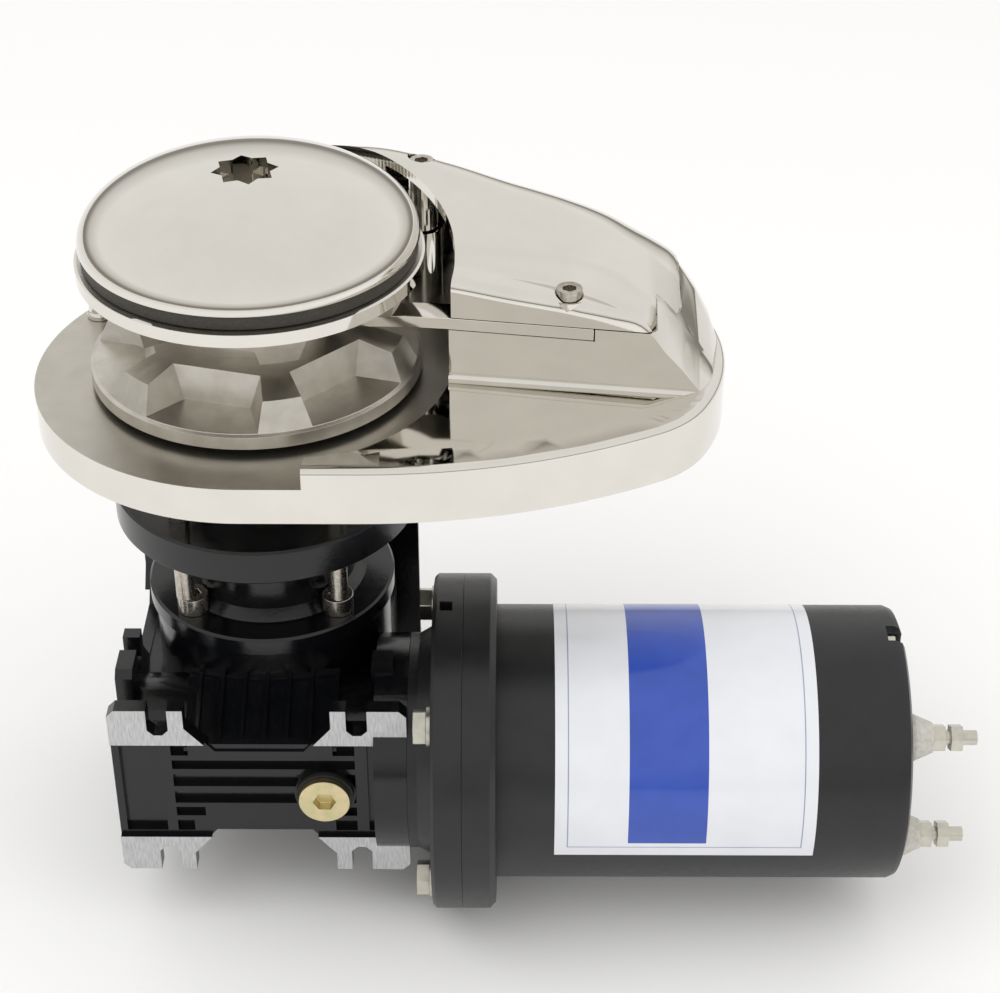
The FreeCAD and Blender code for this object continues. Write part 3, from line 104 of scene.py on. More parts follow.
def grain(tree, size_mm, detail=3.0, stretch=(1.0, 1.0, 1.0)):
    """Noise whose features are size_mm across, on the piece's own coordinates in metres."""
    place = add_node(tree, "ShaderNodeTexCoord")
    spread = add_node(tree, "ShaderNodeMapping", {"Scale": stretch},
                      Vector=place.outputs["Object"])
    return add_node(tree, "ShaderNodeTexNoise",
                    {"Scale": 1000.0 / size_mm, "Detail": detail},
                    Vector=spread.outputs["Vector"])


def colour_between(tree, factor, low, high, low_at=0.3, high_at=0.7):
    """Two colours mixed by a texture's value."""
    ramp = add_node(tree, "ShaderNodeValToRGB", Fac=factor)
    ramp.color_ramp.elements[0].position = low_at
    ramp.color_ramp.elements[0].color = linear(low)
    ramp.color_ramp.elements[1].position = high_at
    ramp.color_ramp.elements[1].color = linear(high)
    return ramp.outputs["Color"]


def value_between(tree, factor, low, high):
    """A texture's value carried on to the range low to high."""
    span = add_node(tree, "ShaderNodeMapRange", {"To Min": low, "To Max": high}, Value=factor)
    return span.outputs["Result"]


def raise_surface(tree, shader, height, depth_mm, strength=1.0):
    """Bump of a real depth from a texture's value."""
    bump = add_node(tree, "ShaderNodeBump", {"Strength": strength, "Distance": depth_mm * 0.001},
                    Height=height)
    tree.links.new(bump.outputs["Normal"], shader.inputs["Normal"])


def polished_stainless():
    """Mirror-polished casting: buffing leaves a soft waviness and faint cloudy patches."""
    material, tree, shader = new_material("polished_stainless", Metallic=1.0, Roughness=0.05)
    cloud = grain(tree, 16.0, 4.0)
    tree.links.new(colour_between(tree, cloud.outputs["Fac"], "#DAD7D0", "#DEDBD4"),
                   shader.inputs["Base Color"])
    haze = grain(tree, 5.0, 5.0)
    tree.links.new(value_between(tree, haze.outputs["Fac"], 0.035, 0.075),
                   shader.inputs["Roughness"])
    waves = grain(tree, 22.0, 1.0)
    raise_surface(tree, shader, waves.outputs["Fac"], 0.05)
    return material


def ring_shape(profile, steps=180):
    """A turned shape about Z from its half section, in millimetres."""
    shape = bmesh.new()
    corners = [shape.verts.new((radius * 0.001, 0, height * 0.001)) for radius, height in profile]
    edges = [shape.edges.new(pair) for pair in zip(corners, corners[1:] + corners[:1])]
    bmesh.ops.spin(shape, geom=corners + edges, cent=(0, 0, 0), axis=(0, 0, 1),
                   angle=math.tau, steps=steps, use_merge=True)
    bmesh.ops.remove_doubles(shape, verts=shape.verts, dist=1e-6)
    bmesh.ops.dissolve_degenerate(shape, edges=shape.edges, dist=1e-7)
    bmesh.ops.recalc_face_normals(shape, faces=shape.faces)
    return shape


def add_piece(name, shape, material, body, replaced=(), sharp=35.0):
    """Make the object, shade it smooth between sharp edges, and let it ride on its body."""
    mesh = bpy.data.meshes.new(name)
    shape.to_mesh(mesh)
    shape.free()
    mesh.shade_smooth()
    mesh.set_sharp_from_angle(angle=math.radians(sharp))
    materials = material if isinstance(material, (list, tuple)) else [material]
    for one in materials:
        mesh.materials.append(one)
    piece = bpy.data.objects.new(name, mesh)
    bpy.context.scene.collection.objects.link(piece)
    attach(piece, body)
    if replaced:
        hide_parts(*replaced)
    return piece


def combine(piece, tool_shape, operation="DIFFERENCE"):
    """Cut a closed shape away from a piece, or join it on, and keep the result in its mesh."""
    tool_mesh = bpy.data.meshes.new("tool")
    tool_shape.to_mesh(tool_mesh)
    tool_shape.free()
    tool = bpy.data.objects.new("tool", tool_mesh)
    bpy.context.scene.collection.objects.link(tool)
    step = piece.modifiers.new("combine", "BOOLEAN")
    step.operation = operation
    step.solver = "EXACT"
    step.object = tool
    bpy.context.view_layer.update()
    graph = bpy.context.evaluated_depsgraph_get()
    result = bpy.data.meshes.new_from_object(piece.evaluated_get(graph))
    piece.modifiers.remove(step)
    old = piece.data
    piece.data = result
    bpy.data.objects.remove(tool)
    bpy.data.meshes.remove(old)
    return piece


def soften(piece, width_mm, segments=2, limit=30.0):
    """Round the piece's sharp edges a little, as casting and finishing leave them."""
    bevel = piece.modifiers.new("edges", "BEVEL")
    bevel.width = width_mm * 0.001
    bevel.segments = segments
    bevel.limit_method = "ANGLE"
    bevel.angle_limit = math.radians(limit)
    bevel.use_clamp_overlap = True
    even = piece.modifiers.new("shading", "WEIGHTED_NORMAL")
    even.keep_sharp = True
    even.weight = 60
    return piece


MIRROR = polished_stainless()
CAP_RADIUS = 66.3
CAP_RIM = 75.0
CAP_LIP = 0.7            # height of the cap's upright edge
CAP_APEX = 102.9
STAR_OUTER = 13.0
STAR_INNER = 9.9
STAR_DEPTH = 15.0


def cap_profile():
    """Half section of the cap: half an ellipse on a low upright lip."""
    rise = CAP_APEX - CAP_RIM - CAP_LIP
    rows = [(10.05, CAP_APEX - 12), (10.05, CAP_RIM), (CAP_RADIUS - 0.3, CAP_RIM)]
    for step in range(49):
        angle = math.pi / 2 * step / 48
        rows.append((CAP_RADIUS * math.cos(angle), CAP_RIM + CAP_LIP + rise * math.sin(angle)))
    return rows


def star_shape(low, high):
    """The eight-pointed socket as a closed prism."""
    shape = bmesh.new()
    corners = []
    for index in range(16):
        radius = (STAR_OUTER, STAR_INNER)[index % 2] * 0.001
        angle = math.radians(12.0 + 22.5 * index)
        corners.append(shape.verts.new((radius * math.cos(angle), radius * math.sin(angle),
                                        low * 0.001)))
    floor = shape.faces.new(corners)
    lifted = bmesh.ops.extrude_face_region(shape, geom=[floor])
    top = [item for item in lifted["geom"] if isinstance(item, bmesh.types.BMVert)]
    bmesh.ops.translate(shape, verts=top, vec=(0, 0, (high - low) * 0.001))
    bmesh.ops.recalc_face_normals(shape, faces=shape.faces)
    return shape


cap_shape = ring_shape(cap_profile(), 220)
cap = add_piece("cap_dome", cap_shape, MIRROR, "cap", ["clutch_cap"])
combine(cap, star_shape(CAP_APEX - STAR_DEPTH, CAP_APEX + 2))
soften(cap, 0.35, 2, 40.0)


# ---------------------------------------------------------------- castings carried over
# The castings keep the forms of the model and get rounded edges.
# Each is a copy whose loose triangles are merged into flat faces first.

def dressed(node, name, material, width_mm, sharp=35.0, limit=30.0, segments=2):
    """A copy of a CAD node with merged faces and softened edges, standing for the node."""
    source = frame["nodes"][node]
    shape = bmesh.new()
    shape.from_mesh(source.data)
    bmesh.ops.remove_doubles(shape, verts=shape.verts, dist=2e-6)
    bmesh.ops.dissolve_limit(shape, angle_limit=math.radians(0.4), verts=shape.verts,
                             edges=shape.edges)
    piece = add_piece(name, shape, material, source["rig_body"], [node], sharp)
    if width_mm:
        soften(piece, width_mm, segments, limit)
    return piece


def satin_stainless():
    """Turned stainless face: fine rings from the lathe tool, and a dull warm grey."""
    material, tree, shader = new_material("satin_stainless", Metallic=1.0, Roughness=0.34,
                                          Anisotropic=0.4)
    cloud = grain(tree, 9.0, 4.0)
    tree.links.new(colour_between(tree, cloud.outputs["Fac"], "#BDB9B0", "#C5C1B8"),
                   shader.inputs["Base Color"])
    tree.links.new(value_between(tree, grain(tree, 0.8).outputs["Fac"], 0.28, 0.42),
                   shader.inputs["Roughness"])
    place = add_node(tree, "ShaderNodeTexCoord")
    rings = add_node(tree, "ShaderNodeTexWave",
                     {"wave_type": "RINGS", "rings_direction": "Z", "Scale": 220.0,
                      "Distortion": 0.4}, Vector=place.outputs["Object"])
    raise_surface(tree, shader, rings.outputs["Fac"], 0.01, 0.6)
    return material


SATIN = satin_stainless()
PLATE_TOP = 15.2
WELL_RADIUS = 78.8        # round hollow in the plate that the gypsy turns in
WELL_FLOOR = 7.0

plate = dressed("deck_plate", "plate_casting", [MIRROR, SATIN], 0.5, 32.0, 32.0, 3)
for face in plate.data.polygons:
    middle = face.center * 1000
    level_face = face.normal.z > 0.99 and abs(middle.z - PLATE_TOP) < 0.2
    in_well = math.hypot(middle.x, middle.y) < WELL_RADIUS and middle.z > WELL_FLOOR
    if level_face or in_well:
        face.material_index = 1


# ---------------------------------------------------------------- housing cover
# The lid of the chain housing is a polished stainless casting: a low shelf along the front,
# a soft step up to the crown, and a long rounded back. Two screws hold it to the plate.

# Each row: station, level of the front lip, (y, z) of the ridge, (y, z) of the crown's rear
# end, and the place of the rear wall.
COVER_STATIONS = (
    (24.0, 65.0, (8.0, 68.0), (74.0, 81.0), 86.6),
    (50.0, 64.0, (6.0, 68.0), (71.0, 80.5), 86.5),
    (77.0, 62.5, (4.0, 67.5), (60.0, 78.0), 84.9),
    (100.0, 59.5, (1.0, 67.0), (46.0, 75.5), 81.0),
    (122.0, 57.0, (-4.0, 66.5), (36.0, 72.5), 74.6),
    (140.0, 54.0, (-11.0, 64.5), (29.0, 68.0), 67.6),
    (153.0, 49.5, (-17.0, 58.0), (22.0, 62.5), 61.5),
    (161.0, 38.5, (-15.0, 51.5), (19.0, 58.5), 57.1),
    (168.0, 31.0, (-14.0, 43.5), (16.0, 54.0), 51.7),
    (175.0, 22.5, (-13.0, 33.5), (12.0, 44.5), 43.2),
)
COVER_SPAN = (26.0, 174.0)
COVER_SPLIT = 46.35             # level of the joint with the plate's raised casting
COVER_WALL = 4.0
HOLLOW_SPAN = (50.0, 140.0)
FRONT_WALL = (77.0, -14.5, -0.152)    # a station, the front wall's place there, and its slope
REAR_FOOT = 24.0
SECTION_BASE = 8.0
COVER_CLEARANCE = 79.5          # round space that the gypsy turns in
COVER_SEAMS = (168.15, 157.65)  # front end of the cover, rear half and stripper side
SEAM_STEP = -11.0
SIDES = (-100.0, 120.0)         # wider and taller than the cover, for the cutting blocks
BEYOND = 200.0
ABOVE = 120.0
COVER_SCREWS = ((64.5, 64.0, 71.0), (124.0, -15.0, 54.5))    # x, y and level of the head's seat
BOSS_RADIUS = 6.5
RECESS_RADIUS = 5.6
SCREW_HOLE = 3.3


def curve_through(rows, x):
    """Each value of the stations' rows at x, on a smooth curve through all of them."""
    count = len(rows)
    index = max(i for i in range(count - 1) if rows[i][0] <= x or i == 0)
    share = (x - rows[index][0]) / (rows[index + 1][0] - rows[index][0])
    before, start = rows[max(index - 1, 0)], rows[index]
    end, after = rows[index + 1], rows[min(index + 2, count - 1)]
    step = end[0] - start[0]
    values = []
    for p, q, r, s in zip(before, start, end, after):
        slope_in = (r - p) * step / (end[0] - before[0])
        slope_out = (s - q) * step / (after[0] - start[0])
        square, cube = share ** 2, share ** 3
        values.append(q * (2 * cube - 3 * square + 1) + slope_in * (cube - 2 * square + share)
                      + r * (3 * square - 2 * cube) + slope_out * (cube - square))
    return values


def bend(start, control, end, steps=7):
    """Points of a curve that leaves start and reaches end along the lines to the control."""
    shares = [step / (steps - 1) for step in range(steps)]
    return [start * (1 - t) ** 2 + control * 2 * t * (1 - t) + end * t ** 2 for t in shares]


def rounded_corner(before, corner, after, reach):
    """The corner of a section rounded, starting and ending a given distance from it."""
    back = before - corner
    ahead = after - corner
    return bend(corner + back.normalized() * min(reach, back.length * 0.48), corner,
                corner + ahead.normalized() * min(reach, ahead.length * 0.48))


def cover_section(x, inset):
    """One cross section of the housing as points in y and z, drawn in by a wall."""
    _, lip, ridge_y, ridge_z, crown_y, crown_z, rear = curve_through(
        [(row[0], row[1], *row[2], *row[3], row[4]) for row in COVER_STATIONS], x)
    station, place, slope = FRONT_WALL
    front = place + slope * (x - station) + inset
    low = Vector((front, SECTION_BASE))
    top = Vector((front, lip - inset))
    shelf = Vector((ridge_y - 5.5 + inset, lip + 0.9 - inset))
    ridge = Vector((ridge_y + inset, ridge_z - inset))
    crown = Vector((crown_y - inset * 0.5, crown_z - inset))
    foot = Vector((rear - inset, REAR_FOOT))
    chord = foot - crown
    outward = Vector((-chord.y, chord.x)).normalized()
    bulge = (crown + foot) / 2 + outward * 0.28 * chord.length
    back = crown + (bulge - crown).normalized() * 10.0
    return ([low] + rounded_corner(low, top, shelf, 5.0)
            + rounded_corner(top, shelf, ridge, 3.0) + rounded_corner(shelf, ridge, crown, 3.0)
            + rounded_corner(ridge, crown, bulge, 10.0) + bend(back, bulge, foot, 14)[1:]
            + [Vector((rear - inset, SECTION_BASE))])


def housing_shape(start, end, inset=0.0, steps=60):
    """Closed loft through evenly spaced sections."""
    shape = bmesh.new()
    rings = []
    for step in range(steps + 1):
        x = start + (end - start) * step / steps
        rings.append([shape.verts.new((x * 0.001, point.x * 0.001, point.y * 0.001))
                      for point in cover_section(x, inset)])
    for ring, following in zip(rings, rings[1:]):
        for index in range(len(ring)):
            beside = (index + 1) % len(ring)
            shape.faces.new((ring[index], ring[beside], following[beside], following[index]))
    shape.faces.new(rings[0])
    shape.faces.new(rings[-1])
    bmesh.ops.recalc_face_normals(shape, faces=shape.faces)
    return shape


def block(x_span, y_span, z_span):
    """A box between limits in millimetres."""
    shape = bmesh.new()
    bmesh.ops.create_cube(shape, size=1.0)
    for vert in shape.verts:
        vert.co = [(low + (high - low) * (value + 0.5)) * 0.001
                   for value, (low, high) in zip(vert.co, (x_span, y_span, z_span))]
    return shape


def drum(radius, low, high, x=0.0, y=0.0, segments=128):
    """An upright cylinder between two levels, in millimetres."""
    shape = bmesh.new()
    bmesh.ops.create_cone(shape, cap_ends=True, segments=segments, radius1=radius * 0.001,
                          radius2=radius * 0.001, depth=(high - low) * 0.001)
    bmesh.ops.translate(shape, verts=shape.verts,
                        vec=(x * 0.001, y * 0.001, (low + high) / 2 * 0.001))
    return shape


cover = add_piece("housing_cover", housing_shape(*COVER_SPAN), MIRROR, "frame",
                  ["chain_cover"], 32.0)
combine(cover, block((COVER_SEAMS[0], BEYOND), SIDES, (0.0, ABOVE)))
combine(cover, block((COVER_SEAMS[1], BEYOND), (SIDES[0], SEAM_STEP), (0.0, ABOVE)))
combine(cover, block((0.0, BEYOND), SIDES, (0.0, COVER_SPLIT)))
combine(cover, drum(COVER_CLEARANCE, 0.0, ABOVE + 10.0, segments=256))
combine(cover, housing_shape(*HOLLOW_SPAN, COVER_WALL, 30))
for x, y, seat in COVER_SCREWS:
    combine(cover, drum(BOSS_RADIUS, COVER_SPLIT + 0.5, seat + 1.5, x, y, 48), "UNION")
for x, y, seat in COVER_SCREWS:
    combine(cover, drum(RECESS_RADIUS, seat, ABOVE, x, y, 64))
    combine(cover, drum(SCREW_HOLE, 20.0, ABOVE, x, y, 48))
soften(cover, 0.6, 3, 40.0)


def cast_nickel():
    """Investment casting left as cast and bright plated, with a fine tooth."""
    material, tree, shader = new_material("cast_nickel", Metallic=1.0, Roughness=0.36)
    cloud = grain(tree, 7.0, 5.0)
    tree.links.new(colour_between(tree, cloud.outputs["Fac"], "#C6C2B9", "#D6D2CA"),
                   shader.inputs["Base Color"])
    tooth = grain(tree, 0.5, 2.0)
    tree.links.new(value_between(tree, tooth.outputs["Fac"], 0.26, 0.46),
                   shader.inputs["Roughness"])
    raise_surface(tree, shader, tooth.outputs["Fac"], 0.05, 0.5)
    return material


CAST_NICKEL = cast_nickel()
FLANGE_LOW = 62.8
FLANGE_EDGE = 66.5
gypsy = dressed("gypsy", "gypsy_casting", [CAST_NICKEL, MIRROR], 0.9, 32.0, 32.0, 3)
for face in gypsy.data.polygons:
    middle = face.center * 1000
    if middle.z > FLANGE_LOW and math.hypot(middle.x, middle.y) > FLANGE_EDGE:
        face.material_index = 1


def painted_groove_shade():
    """A dry, dark brown-grey that shows turning marks; the dark colour is painted shade for the
    recessed groove under the cap's rim.
    """
    material, tree, shader = new_material("painted_groove_shade", Roughness=0.55)
    tree.links.new(colour_between(tree, grain(tree, 1.2).outputs["Fac"], "#2B2823", "#3B372F"),
                   shader.inputs["Base Color"])
    raise_surface(tree, shader, grain(tree, 0.6).outputs["Fac"], 0.03, 0.5)
    return material


# The band under the cap's rim is coloured dark brown-grey as painted shade for its groove.
dressed("upper_clutch_cone", "clutch_band", painted_groove_shade(), 0.4, limit=40.0)


def black_enamel(name, low, high, gloss, tooth_mm, depth_mm):
    """Sprayed enamel over a casting: gloss on the flats, with the casting's tooth under it."""
    material, tree, shader = new_material(name, Roughness=gloss, Specular_IOR_Level=0.5)
    tree.links.new(colour_between(tree, grain(tree, 12.0).outputs["Fac"], low, high),
                   shader.inputs["Base Color"])
    tree.links.new(value_between(tree, grain(tree, 3.0).outputs["Fac"], gloss - 0.05, gloss + 0.1),
                   shader.inputs["Roughness"])
    raise_surface(tree, shader, grain(tree, tooth_mm, 4.0).outputs["Fac"], depth_mm, 0.7)
    return material


GLOSS_BLACK = black_enamel("gloss_black_enamel", "#08090B", "#0E0F12", 0.16, 1.6, 0.06)
SATIN_BLACK = black_enamel("satin_black_enamel", "#131416", "#1A1B1D", 0.34, 0.7, 0.04)


def milled_aluminium():
    """Freshly milled pads on the casting: pale grey with fine cutter marks."""
    material, tree, shader = new_material("milled_aluminium", Metallic=1.0, Roughness=0.42)
    streaks = grain(tree, 0.6, 3.0, (1.0, 1.0, 0.12))
    tree.links.new(colour_between(tree, streaks.outputs["Fac"], "#AFB0B1", "#D3D4D5"),
                   shader.inputs["Base Color"])
    tree.links.new(value_between(tree, streaks.outputs["Fac"], 0.34, 0.5),
                   shader.inputs["Roughness"])
    return material


WORM_LEVEL = -137.0
PAD_INNER = 24.6          # the milled pads start this far above and below the worm
case = dressed("gearbox_housing", "gearbox_casting", [GLOSS_BLACK, milled_aluminium()], 0.7,
               32.0, 32.0, 3)
low, high = (corner * 1000 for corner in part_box("gearbox_housing"))
for face in case.data.polygons:
    middle = face.center * 1000
    on_front = face.normal.y < -0.99 and middle.y < low.y + 12
    on_rear = face.normal.y > 0.99 and middle.y > high.y - 0.2
    on_side = face.normal.x < -0.99 and middle.x < low.x + 0.2
    if (on_front or on_rear or on_side) and abs(middle.z - WORM_LEVEL) > PAD_INNER:
        face.material_index = 1
dressed("shaft_spool", "spool_casting", GLOSS_BLACK, 0.8)
dressed("output_cover", "gearbox_lower_cover", GLOSS_BLACK, 0.6)
dressed("input_flange", "worm_flange", SATIN_BLACK, 0.8)
dressed("motor_flange", "motor_end_shield", SATIN_BLACK, 0.8)
dressed("motor_yoke", "motor_can", SATIN_BLACK, 0.0)
dressed("motor_end_bell", "motor_tail_shield", SATIN_BLACK, 0.8)


# ---------------------------------------------------------------- hardware
# Screws, studs, nuts and the stripper bar are stainless or zinc-plated steel.
# They keep the model's forms with the edges broken, as on rolled and headed parts.
# The cover's two screws are M6 cap screws with plain round heads, drawn afresh.

def bright_hardware():
    """Headed stainless screws: a slightly warm grey with soft drawing marks."""
    material, tree, shader = new_material("bright_stainless", Metallic=1.0, Roughness=0.24)
    tree.links.new(colour_between(tree, grain(tree, 2.0).outputs["Fac"], "#A9A298", "#C9C3B9"),
                   shader.inputs["Base Color"])
    tree.links.new(value_between(tree, grain(tree, 0.7).outputs["Fac"], 0.18, 0.34),
                   shader.inputs["Roughness"])
    return material


def zinc_plate(name, low, high):
    """Passivated zinc plate: one tint that drifts softly into another."""
    material, tree, shader = new_material(name, Metallic=1.0, Roughness=0.3)
    drift = grain(tree, 4.0, 2.0)
    ramp = add_node(tree, "ShaderNodeValToRGB", Fac=drift.outputs["Fac"])
    ramp.color_ramp.elements[0].position = 0.35
    ramp.color_ramp.elements[0].color = linear(low)
    ramp.color_ramp.elements[1].position = 0.65
    ramp.color_ramp.elements[1].color = linear(high)
    tree.links.new(ramp.outputs["Color"], shader.inputs["Base Color"])
    tree.links.new(value_between(tree, grain(tree, 0.8).outputs["Fac"], 0.24, 0.4),
                   shader.inputs["Roughness"])
    return material


BRIGHT = bright_hardware()
YELLOW_ZINC = zinc_plate("yellow_zinc", "#CFC79A", "#DFCFA6")
CLEAR_ZINC = zinc_plate("clear_zinc", "#C2C1B8", "#D0CCBE")
dressed("stripper_bar", "stripper_blade", MIRROR, 0.7)
dressed("guide_post", "guide_pin", MIRROR, 0.4)
SCREW_RADIUS = 3.0
SCREW_FOOT = 36.0
HEAD_RADIUS = 5.1
HEAD_HEIGHT = 5.5
KEY_RADIUS = 2.9          # corners of the six-sided key socket
KEY_FLOOR = 2.0
shanks = [drum(SCREW_RADIUS, SCREW_FOOT, seat + 1.0, x, y, 48) for x, y, seat in COVER_SCREWS]
screws = add_piece("cover_screws_steel", shanks[0], BRIGHT, "frame",
                   ["cover_screws"])
combine(screws, shanks[1], "UNION")
for x, y, seat in COVER_SCREWS:
    combine(screws, drum(HEAD_RADIUS, seat, seat + HEAD_HEIGHT, x, y, 64), "UNION")
    combine(screws, drum(KEY_RADIUS, seat + KEY_FLOOR, seat + 7.0, x, y, 6))
soften(screws, 0.35)
for node in ("deck_studs", "spool_screws", "stripper_screw"):
    dressed(node, node + "_steel", BRIGHT, 0.35)
dressed("oil_plug", "oil_plug_zinc", YELLOW_ZINC, 0.35)
for node in ("flange_bolts", "terminal_nuts", "through_bolts"):
    dressed(node, node + "_zinc", CLEAR_ZINC, 0.35)


# ---------------------------------------------------------------- motor label
# A printed plastic film is wrapped round the motor: white, with one blue band and a thin
# border line, and no lettering.

LABEL_SPAN = (119.5, 224.0)       # along the motor, mm
LABEL_TURNS = (-14.0, 136.0)      # round the motor, degrees up from the front
BAND_SPAN = (149.0, 180.5)
BAND_FOOT = -6.3
BORDER_INSET = 5.0
BORDER_WIDTH = 0.5
BAND_HEAD_GAP = 8.0               # degrees between the band's top and the label's
MOTOR_AXIS = (-50.0, -137.0)
CAN_RADIUS = 57.0


def within(tree, source, low, high):
    """1 where a value lies between two limits, else 0."""
    node = add_node(tree, "ShaderNodeMath", {"operation": "COMPARE"})
    tree.links.new(source, node.inputs[0])
    node.inputs[1].default_value = (low + high) / 2
    node.inputs[2].default_value = (high - low) / 2
    return node.outputs[0]


def combined(tree, operation, first, second):
    """Two values joined by one arithmetic step."""
    node = add_node(tree, "ShaderNodeMath", {"operation": operation})
    for socket, source in zip(node.inputs, (first, second)):
        if isinstance(source, float):
            socket.default_value = source
        else:
            tree.links.new(source, socket)
    return node.outputs[0]


def inked(tree, base, mask, ink):
    """The base colour with an ink laid over it where the mask is 1."""
    node = add_node(tree, "ShaderNodeMix", {"data_type": "RGBA"})
    tree.links.new(mask, node.inputs["Factor"])
    tree.links.new(base, node.inputs[6])
    tree.links.new(ink, node.inputs[7])
    return node.outputs[2]


def label_film():
    """Gloss film print: flat inks under a clear coat, with a border line inside the edge."""
    material, tree, shader = new_material("label_film", Roughness=0.3, Coat_Weight=0.5,
                                          Coat_Roughness=0.08)
    place = add_node(tree, "ShaderNodeTexCoord")
    parts = add_node(tree, "ShaderNodeSeparateXYZ", Vector=place.outputs["Object"])
    along = combined(tree, "MULTIPLY", parts.outputs["X"], 1000.0)
    forward = combined(tree, "SUBTRACT", MOTOR_AXIS[0] * 0.001, parts.outputs["Y"])
    upward = combined(tree, "SUBTRACT", parts.outputs["Z"], MOTOR_AXIS[1] * 0.001)
    turn = combined(tree, "MULTIPLY", combined(tree, "ARCTAN2", upward, forward),
                    math.degrees(1.0))
    inset_turn = math.degrees(BORDER_INSET / CAN_RADIUS)
    width_turn = math.degrees(BORDER_WIDTH / CAN_RADIUS)
    left, right = LABEL_SPAN[0] + BORDER_INSET, LABEL_SPAN[1] - BORDER_INSET
    foot, head = LABEL_TURNS[0] + inset_turn, LABEL_TURNS[1] - inset_turn
    outer = combined(tree, "MULTIPLY", within(tree, along, left, right),
                     within(tree, turn, foot, head))
    inner = combined(tree, "MULTIPLY",
                     within(tree, along, left + BORDER_WIDTH, right - BORDER_WIDTH),
                     within(tree, turn, foot + width_turn, head - width_turn))
    border = combined(tree, "SUBTRACT", outer, inner)
    band = combined(tree, "MULTIPLY", within(tree, along, *BAND_SPAN),
                    within(tree, turn, BAND_FOOT, LABEL_TURNS[1] - BAND_HEAD_GAP))
    tint = grain(tree, 14.0, 2.0).outputs["Fac"]
    paper = colour_between(tree, tint, "#E2E4EA", "#E6E8EE")
    line = colour_between(tree, tint, "#8D97B5", "#98A1BD")
    blue = colour_between(tree, tint, "#2346A8", "#2A4FB6")
    printed = inked(tree, inked(tree, paper, border, line), band, blue)
    tree.links.new(printed, shader.inputs["Base Color"])
    return material


frame["nodes"]["motor_label"].data.materials.clear()
frame["nodes"]["motor_label"].data.materials.append(label_film())


# ---------------------------------------------------------------- pieces inside
# Shafts, bearings, gears and windings are seen only when the covers are off.
# Each keeps its model form and gets the finish of what it is made of.

def plain_finish(name, low, high, roughness, metallic, size_mm):
    """Machined or moulded stock: two close tones and an uneven roughness."""
    material, tree, shader = new_material(name, Metallic=metallic)
    tone = grain(tree, size_mm)
    tree.links.new(colour_between(tree, tone.outputs["Fac"], low, high),
                   shader.inputs["Base Color"])
    tree.links.new(value_between(tree, tone.outputs["Fac"], roughness - 0.06, roughness + 0.08),
                   shader.inputs["Roughness"])
    return material


INSIDE = {
    "satin_steel": plain_finish("ground_steel", "#9A9894", "#B4B2AD", 0.3, 1.0, 2.0),
    "iron": plain_finish("machined_iron", "#5B5A58", "#6E6C69", 0.42, 1.0, 2.5),
    "bronze": plain_finish("gear_bronze", "#B07C3C", "#C79552", 0.33, 1.0, 2.0),
    "seal_rubber": plain_finish("nitrile_rubber", "#141414", "#1E1E1E", 0.6, 0.0, 1.0),
    "insulator": plain_finish("moulded_nylon", "#B7B4AC", "#CBC8C0", 0.45, 0.0, 2.0),
    "ferrite": plain_finish("sintered_ferrite", "#2A2A2C", "#363638", 0.7, 0.0, 1.5),
    "copper": plain_finish("drawn_copper", "#B5793F", "#C88C54", 0.3, 1.0, 1.5),
    "zinc": CLEAR_ZINC,
    # Painted shade: the same dark brown-grey that stands for the groove's shade under the cap.
    "dark_band": plain_finish("painted_shade_band", "#2B2823", "#3B372F", 0.55, 0.0, 1.2),
    "polished_steel": MIRROR,
    "gypsy_metal": CAST_NICKEL,
    "black_paint": GLOSS_BLACK,
    "gearbox_paint": GLOSS_BLACK,
    "motor_paint": SATIN_BLACK,
}
for row in frame["record"]["subparts"]:
    node = frame["nodes"][row["node"]]
    if row["node"] == "motor_label" or node.hide_render:
        continue
    node.data.materials.clear()
    node.data.materials.append(INSIDE[row["material_slot"]])
    for face in node.data.polygons:
        face.material_index = 0


# ---------------------------------------------------------------- studio
# A pale floor and backdrop, two soft lamps and a long lens from above the front.

FLOOR_LEVEL = -0.2085
world = bpy.data.worlds.new("studio")
bpy.context.scene.world = world
world.use_nodes = True
world_tree = world.node_tree
background = world_tree.nodes["Background"]
background.inputs["Strength"].default_value = 1.0
path = add_node(world_tree, "ShaderNodeLightPath")
around = add_node(world_tree, "ShaderNodeTexCoord")
heights = add_node(world_tree, "ShaderNodeSeparateXYZ", Vector=around.outputs["Generated"])
sky = add_node(world_tree, "ShaderNodeValToRGB")
span = add_node(world_tree, "ShaderNodeMapRange", {"From Min": -1.0, "From Max": 1.0},
                Value=heights.outputs["Z"])
world_tree.links.new(span.outputs["Result"], sky.inputs["Fac"])
stops = sky.color_ramp.elements
stops[0].position = 0.0
stops[0].color = linear("#C9C6C0")
stops[1].position = 1.0
stops[1].color = linear("#F6F5F3")
for position, code in ((0.44, "#A19D96"), (0.5, "#918D86"), (0.56, "#D9D7D2"), (0.66, "#FBFAF8")):
    stop = stops.new(position)
    stop.color = linear(code)
seen = add_node(world_tree, "ShaderNodeMix", {"data_type": "RGBA"})
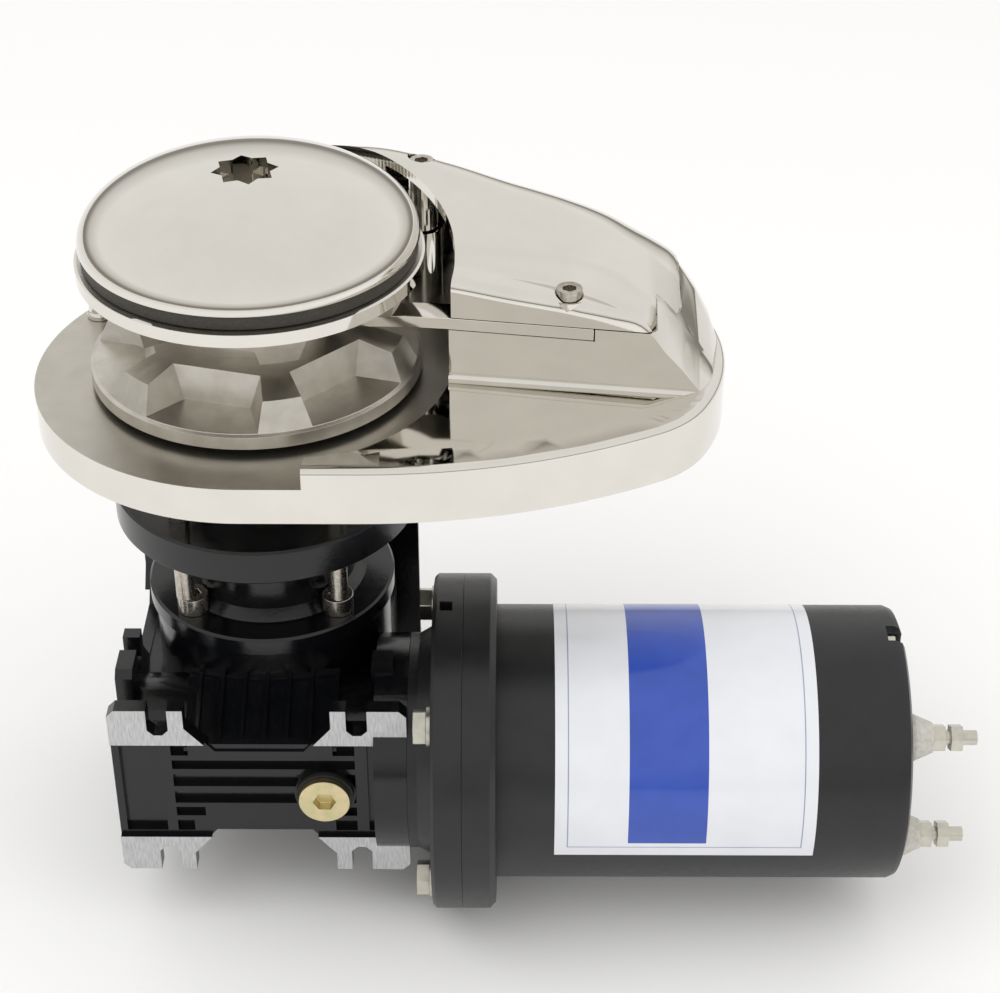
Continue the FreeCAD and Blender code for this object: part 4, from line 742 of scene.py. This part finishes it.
world_tree.links.new(path.outputs["Is Camera Ray"], seen.inputs["Factor"])
world_tree.links.new(sky.outputs["Color"], seen.inputs[6])
seen.inputs[7].default_value = (1.0, 1.0, 1.0, 1.0)
world_tree.links.new(seen.outputs[2], background.inputs["Color"])

floor_shape = bmesh.new()
bmesh.ops.create_grid(floor_shape, x_segments=1, y_segments=1, size=3.0)
bmesh.ops.translate(floor_shape, verts=floor_shape.verts, vec=(0, 0, FLOOR_LEVEL))
floor_mesh = bpy.data.meshes.new("floor")
floor_shape.to_mesh(floor_mesh)
floor_shape.free()
floor = bpy.data.objects.new("floor", floor_mesh)
bpy.context.scene.collection.objects.link(floor)
floor_paint, _, floor_shader = new_material("matte_white_floor", Roughness=0.9)
floor_shader.inputs["Base Color"].default_value = linear("#FBFBFB")
floor_shader.inputs["Specular IOR Level"].default_value = 0.0
floor_mesh.materials.append(floor_paint)


def lamp(name, size, energy, position, aim):
    light = bpy.data.lights.new(name, "AREA")
    light.shape = "RECTANGLE"
    light.size, light.size_y = size
    light.energy = energy
    holder = bpy.data.objects.new(name, light)
    holder.location = position
    holder.visible_glossy = False
    holder.rotation_euler = (Vector(aim) - Vector(position)).to_track_quat("-Z", "Y").to_euler()
    bpy.context.scene.collection.objects.link(holder)


lamp("key", (1.4, 0.9), 5.5, (-0.6, -0.6, 1.3), (0.08, 0, 0))
lamp("fill", (1.1, 0.8), 3.0, (1.3, -0.7, 0.7), (0.08, 0, -0.05))

CAMERA_PLACE = (0.1008, -0.7749, 0.4742)
CAMERA_DOWN = 33.94
CAMERA_TURN = 0.27
lens = bpy.data.cameras.new("camera")
lens.lens = 80.46
lens.sensor_width = 36.0
lens.sensor_fit = "HORIZONTAL"
camera = bpy.data.objects.new("camera", lens)
camera.location = CAMERA_PLACE
camera.rotation_euler = (math.radians(90 - CAMERA_DOWN), 0, math.radians(CAMERA_TURN))
bpy.context.scene.collection.objects.link(camera)
bpy.context.scene.camera = camera

view = bpy.context.scene.view_settings
view.view_transform = "Standard"
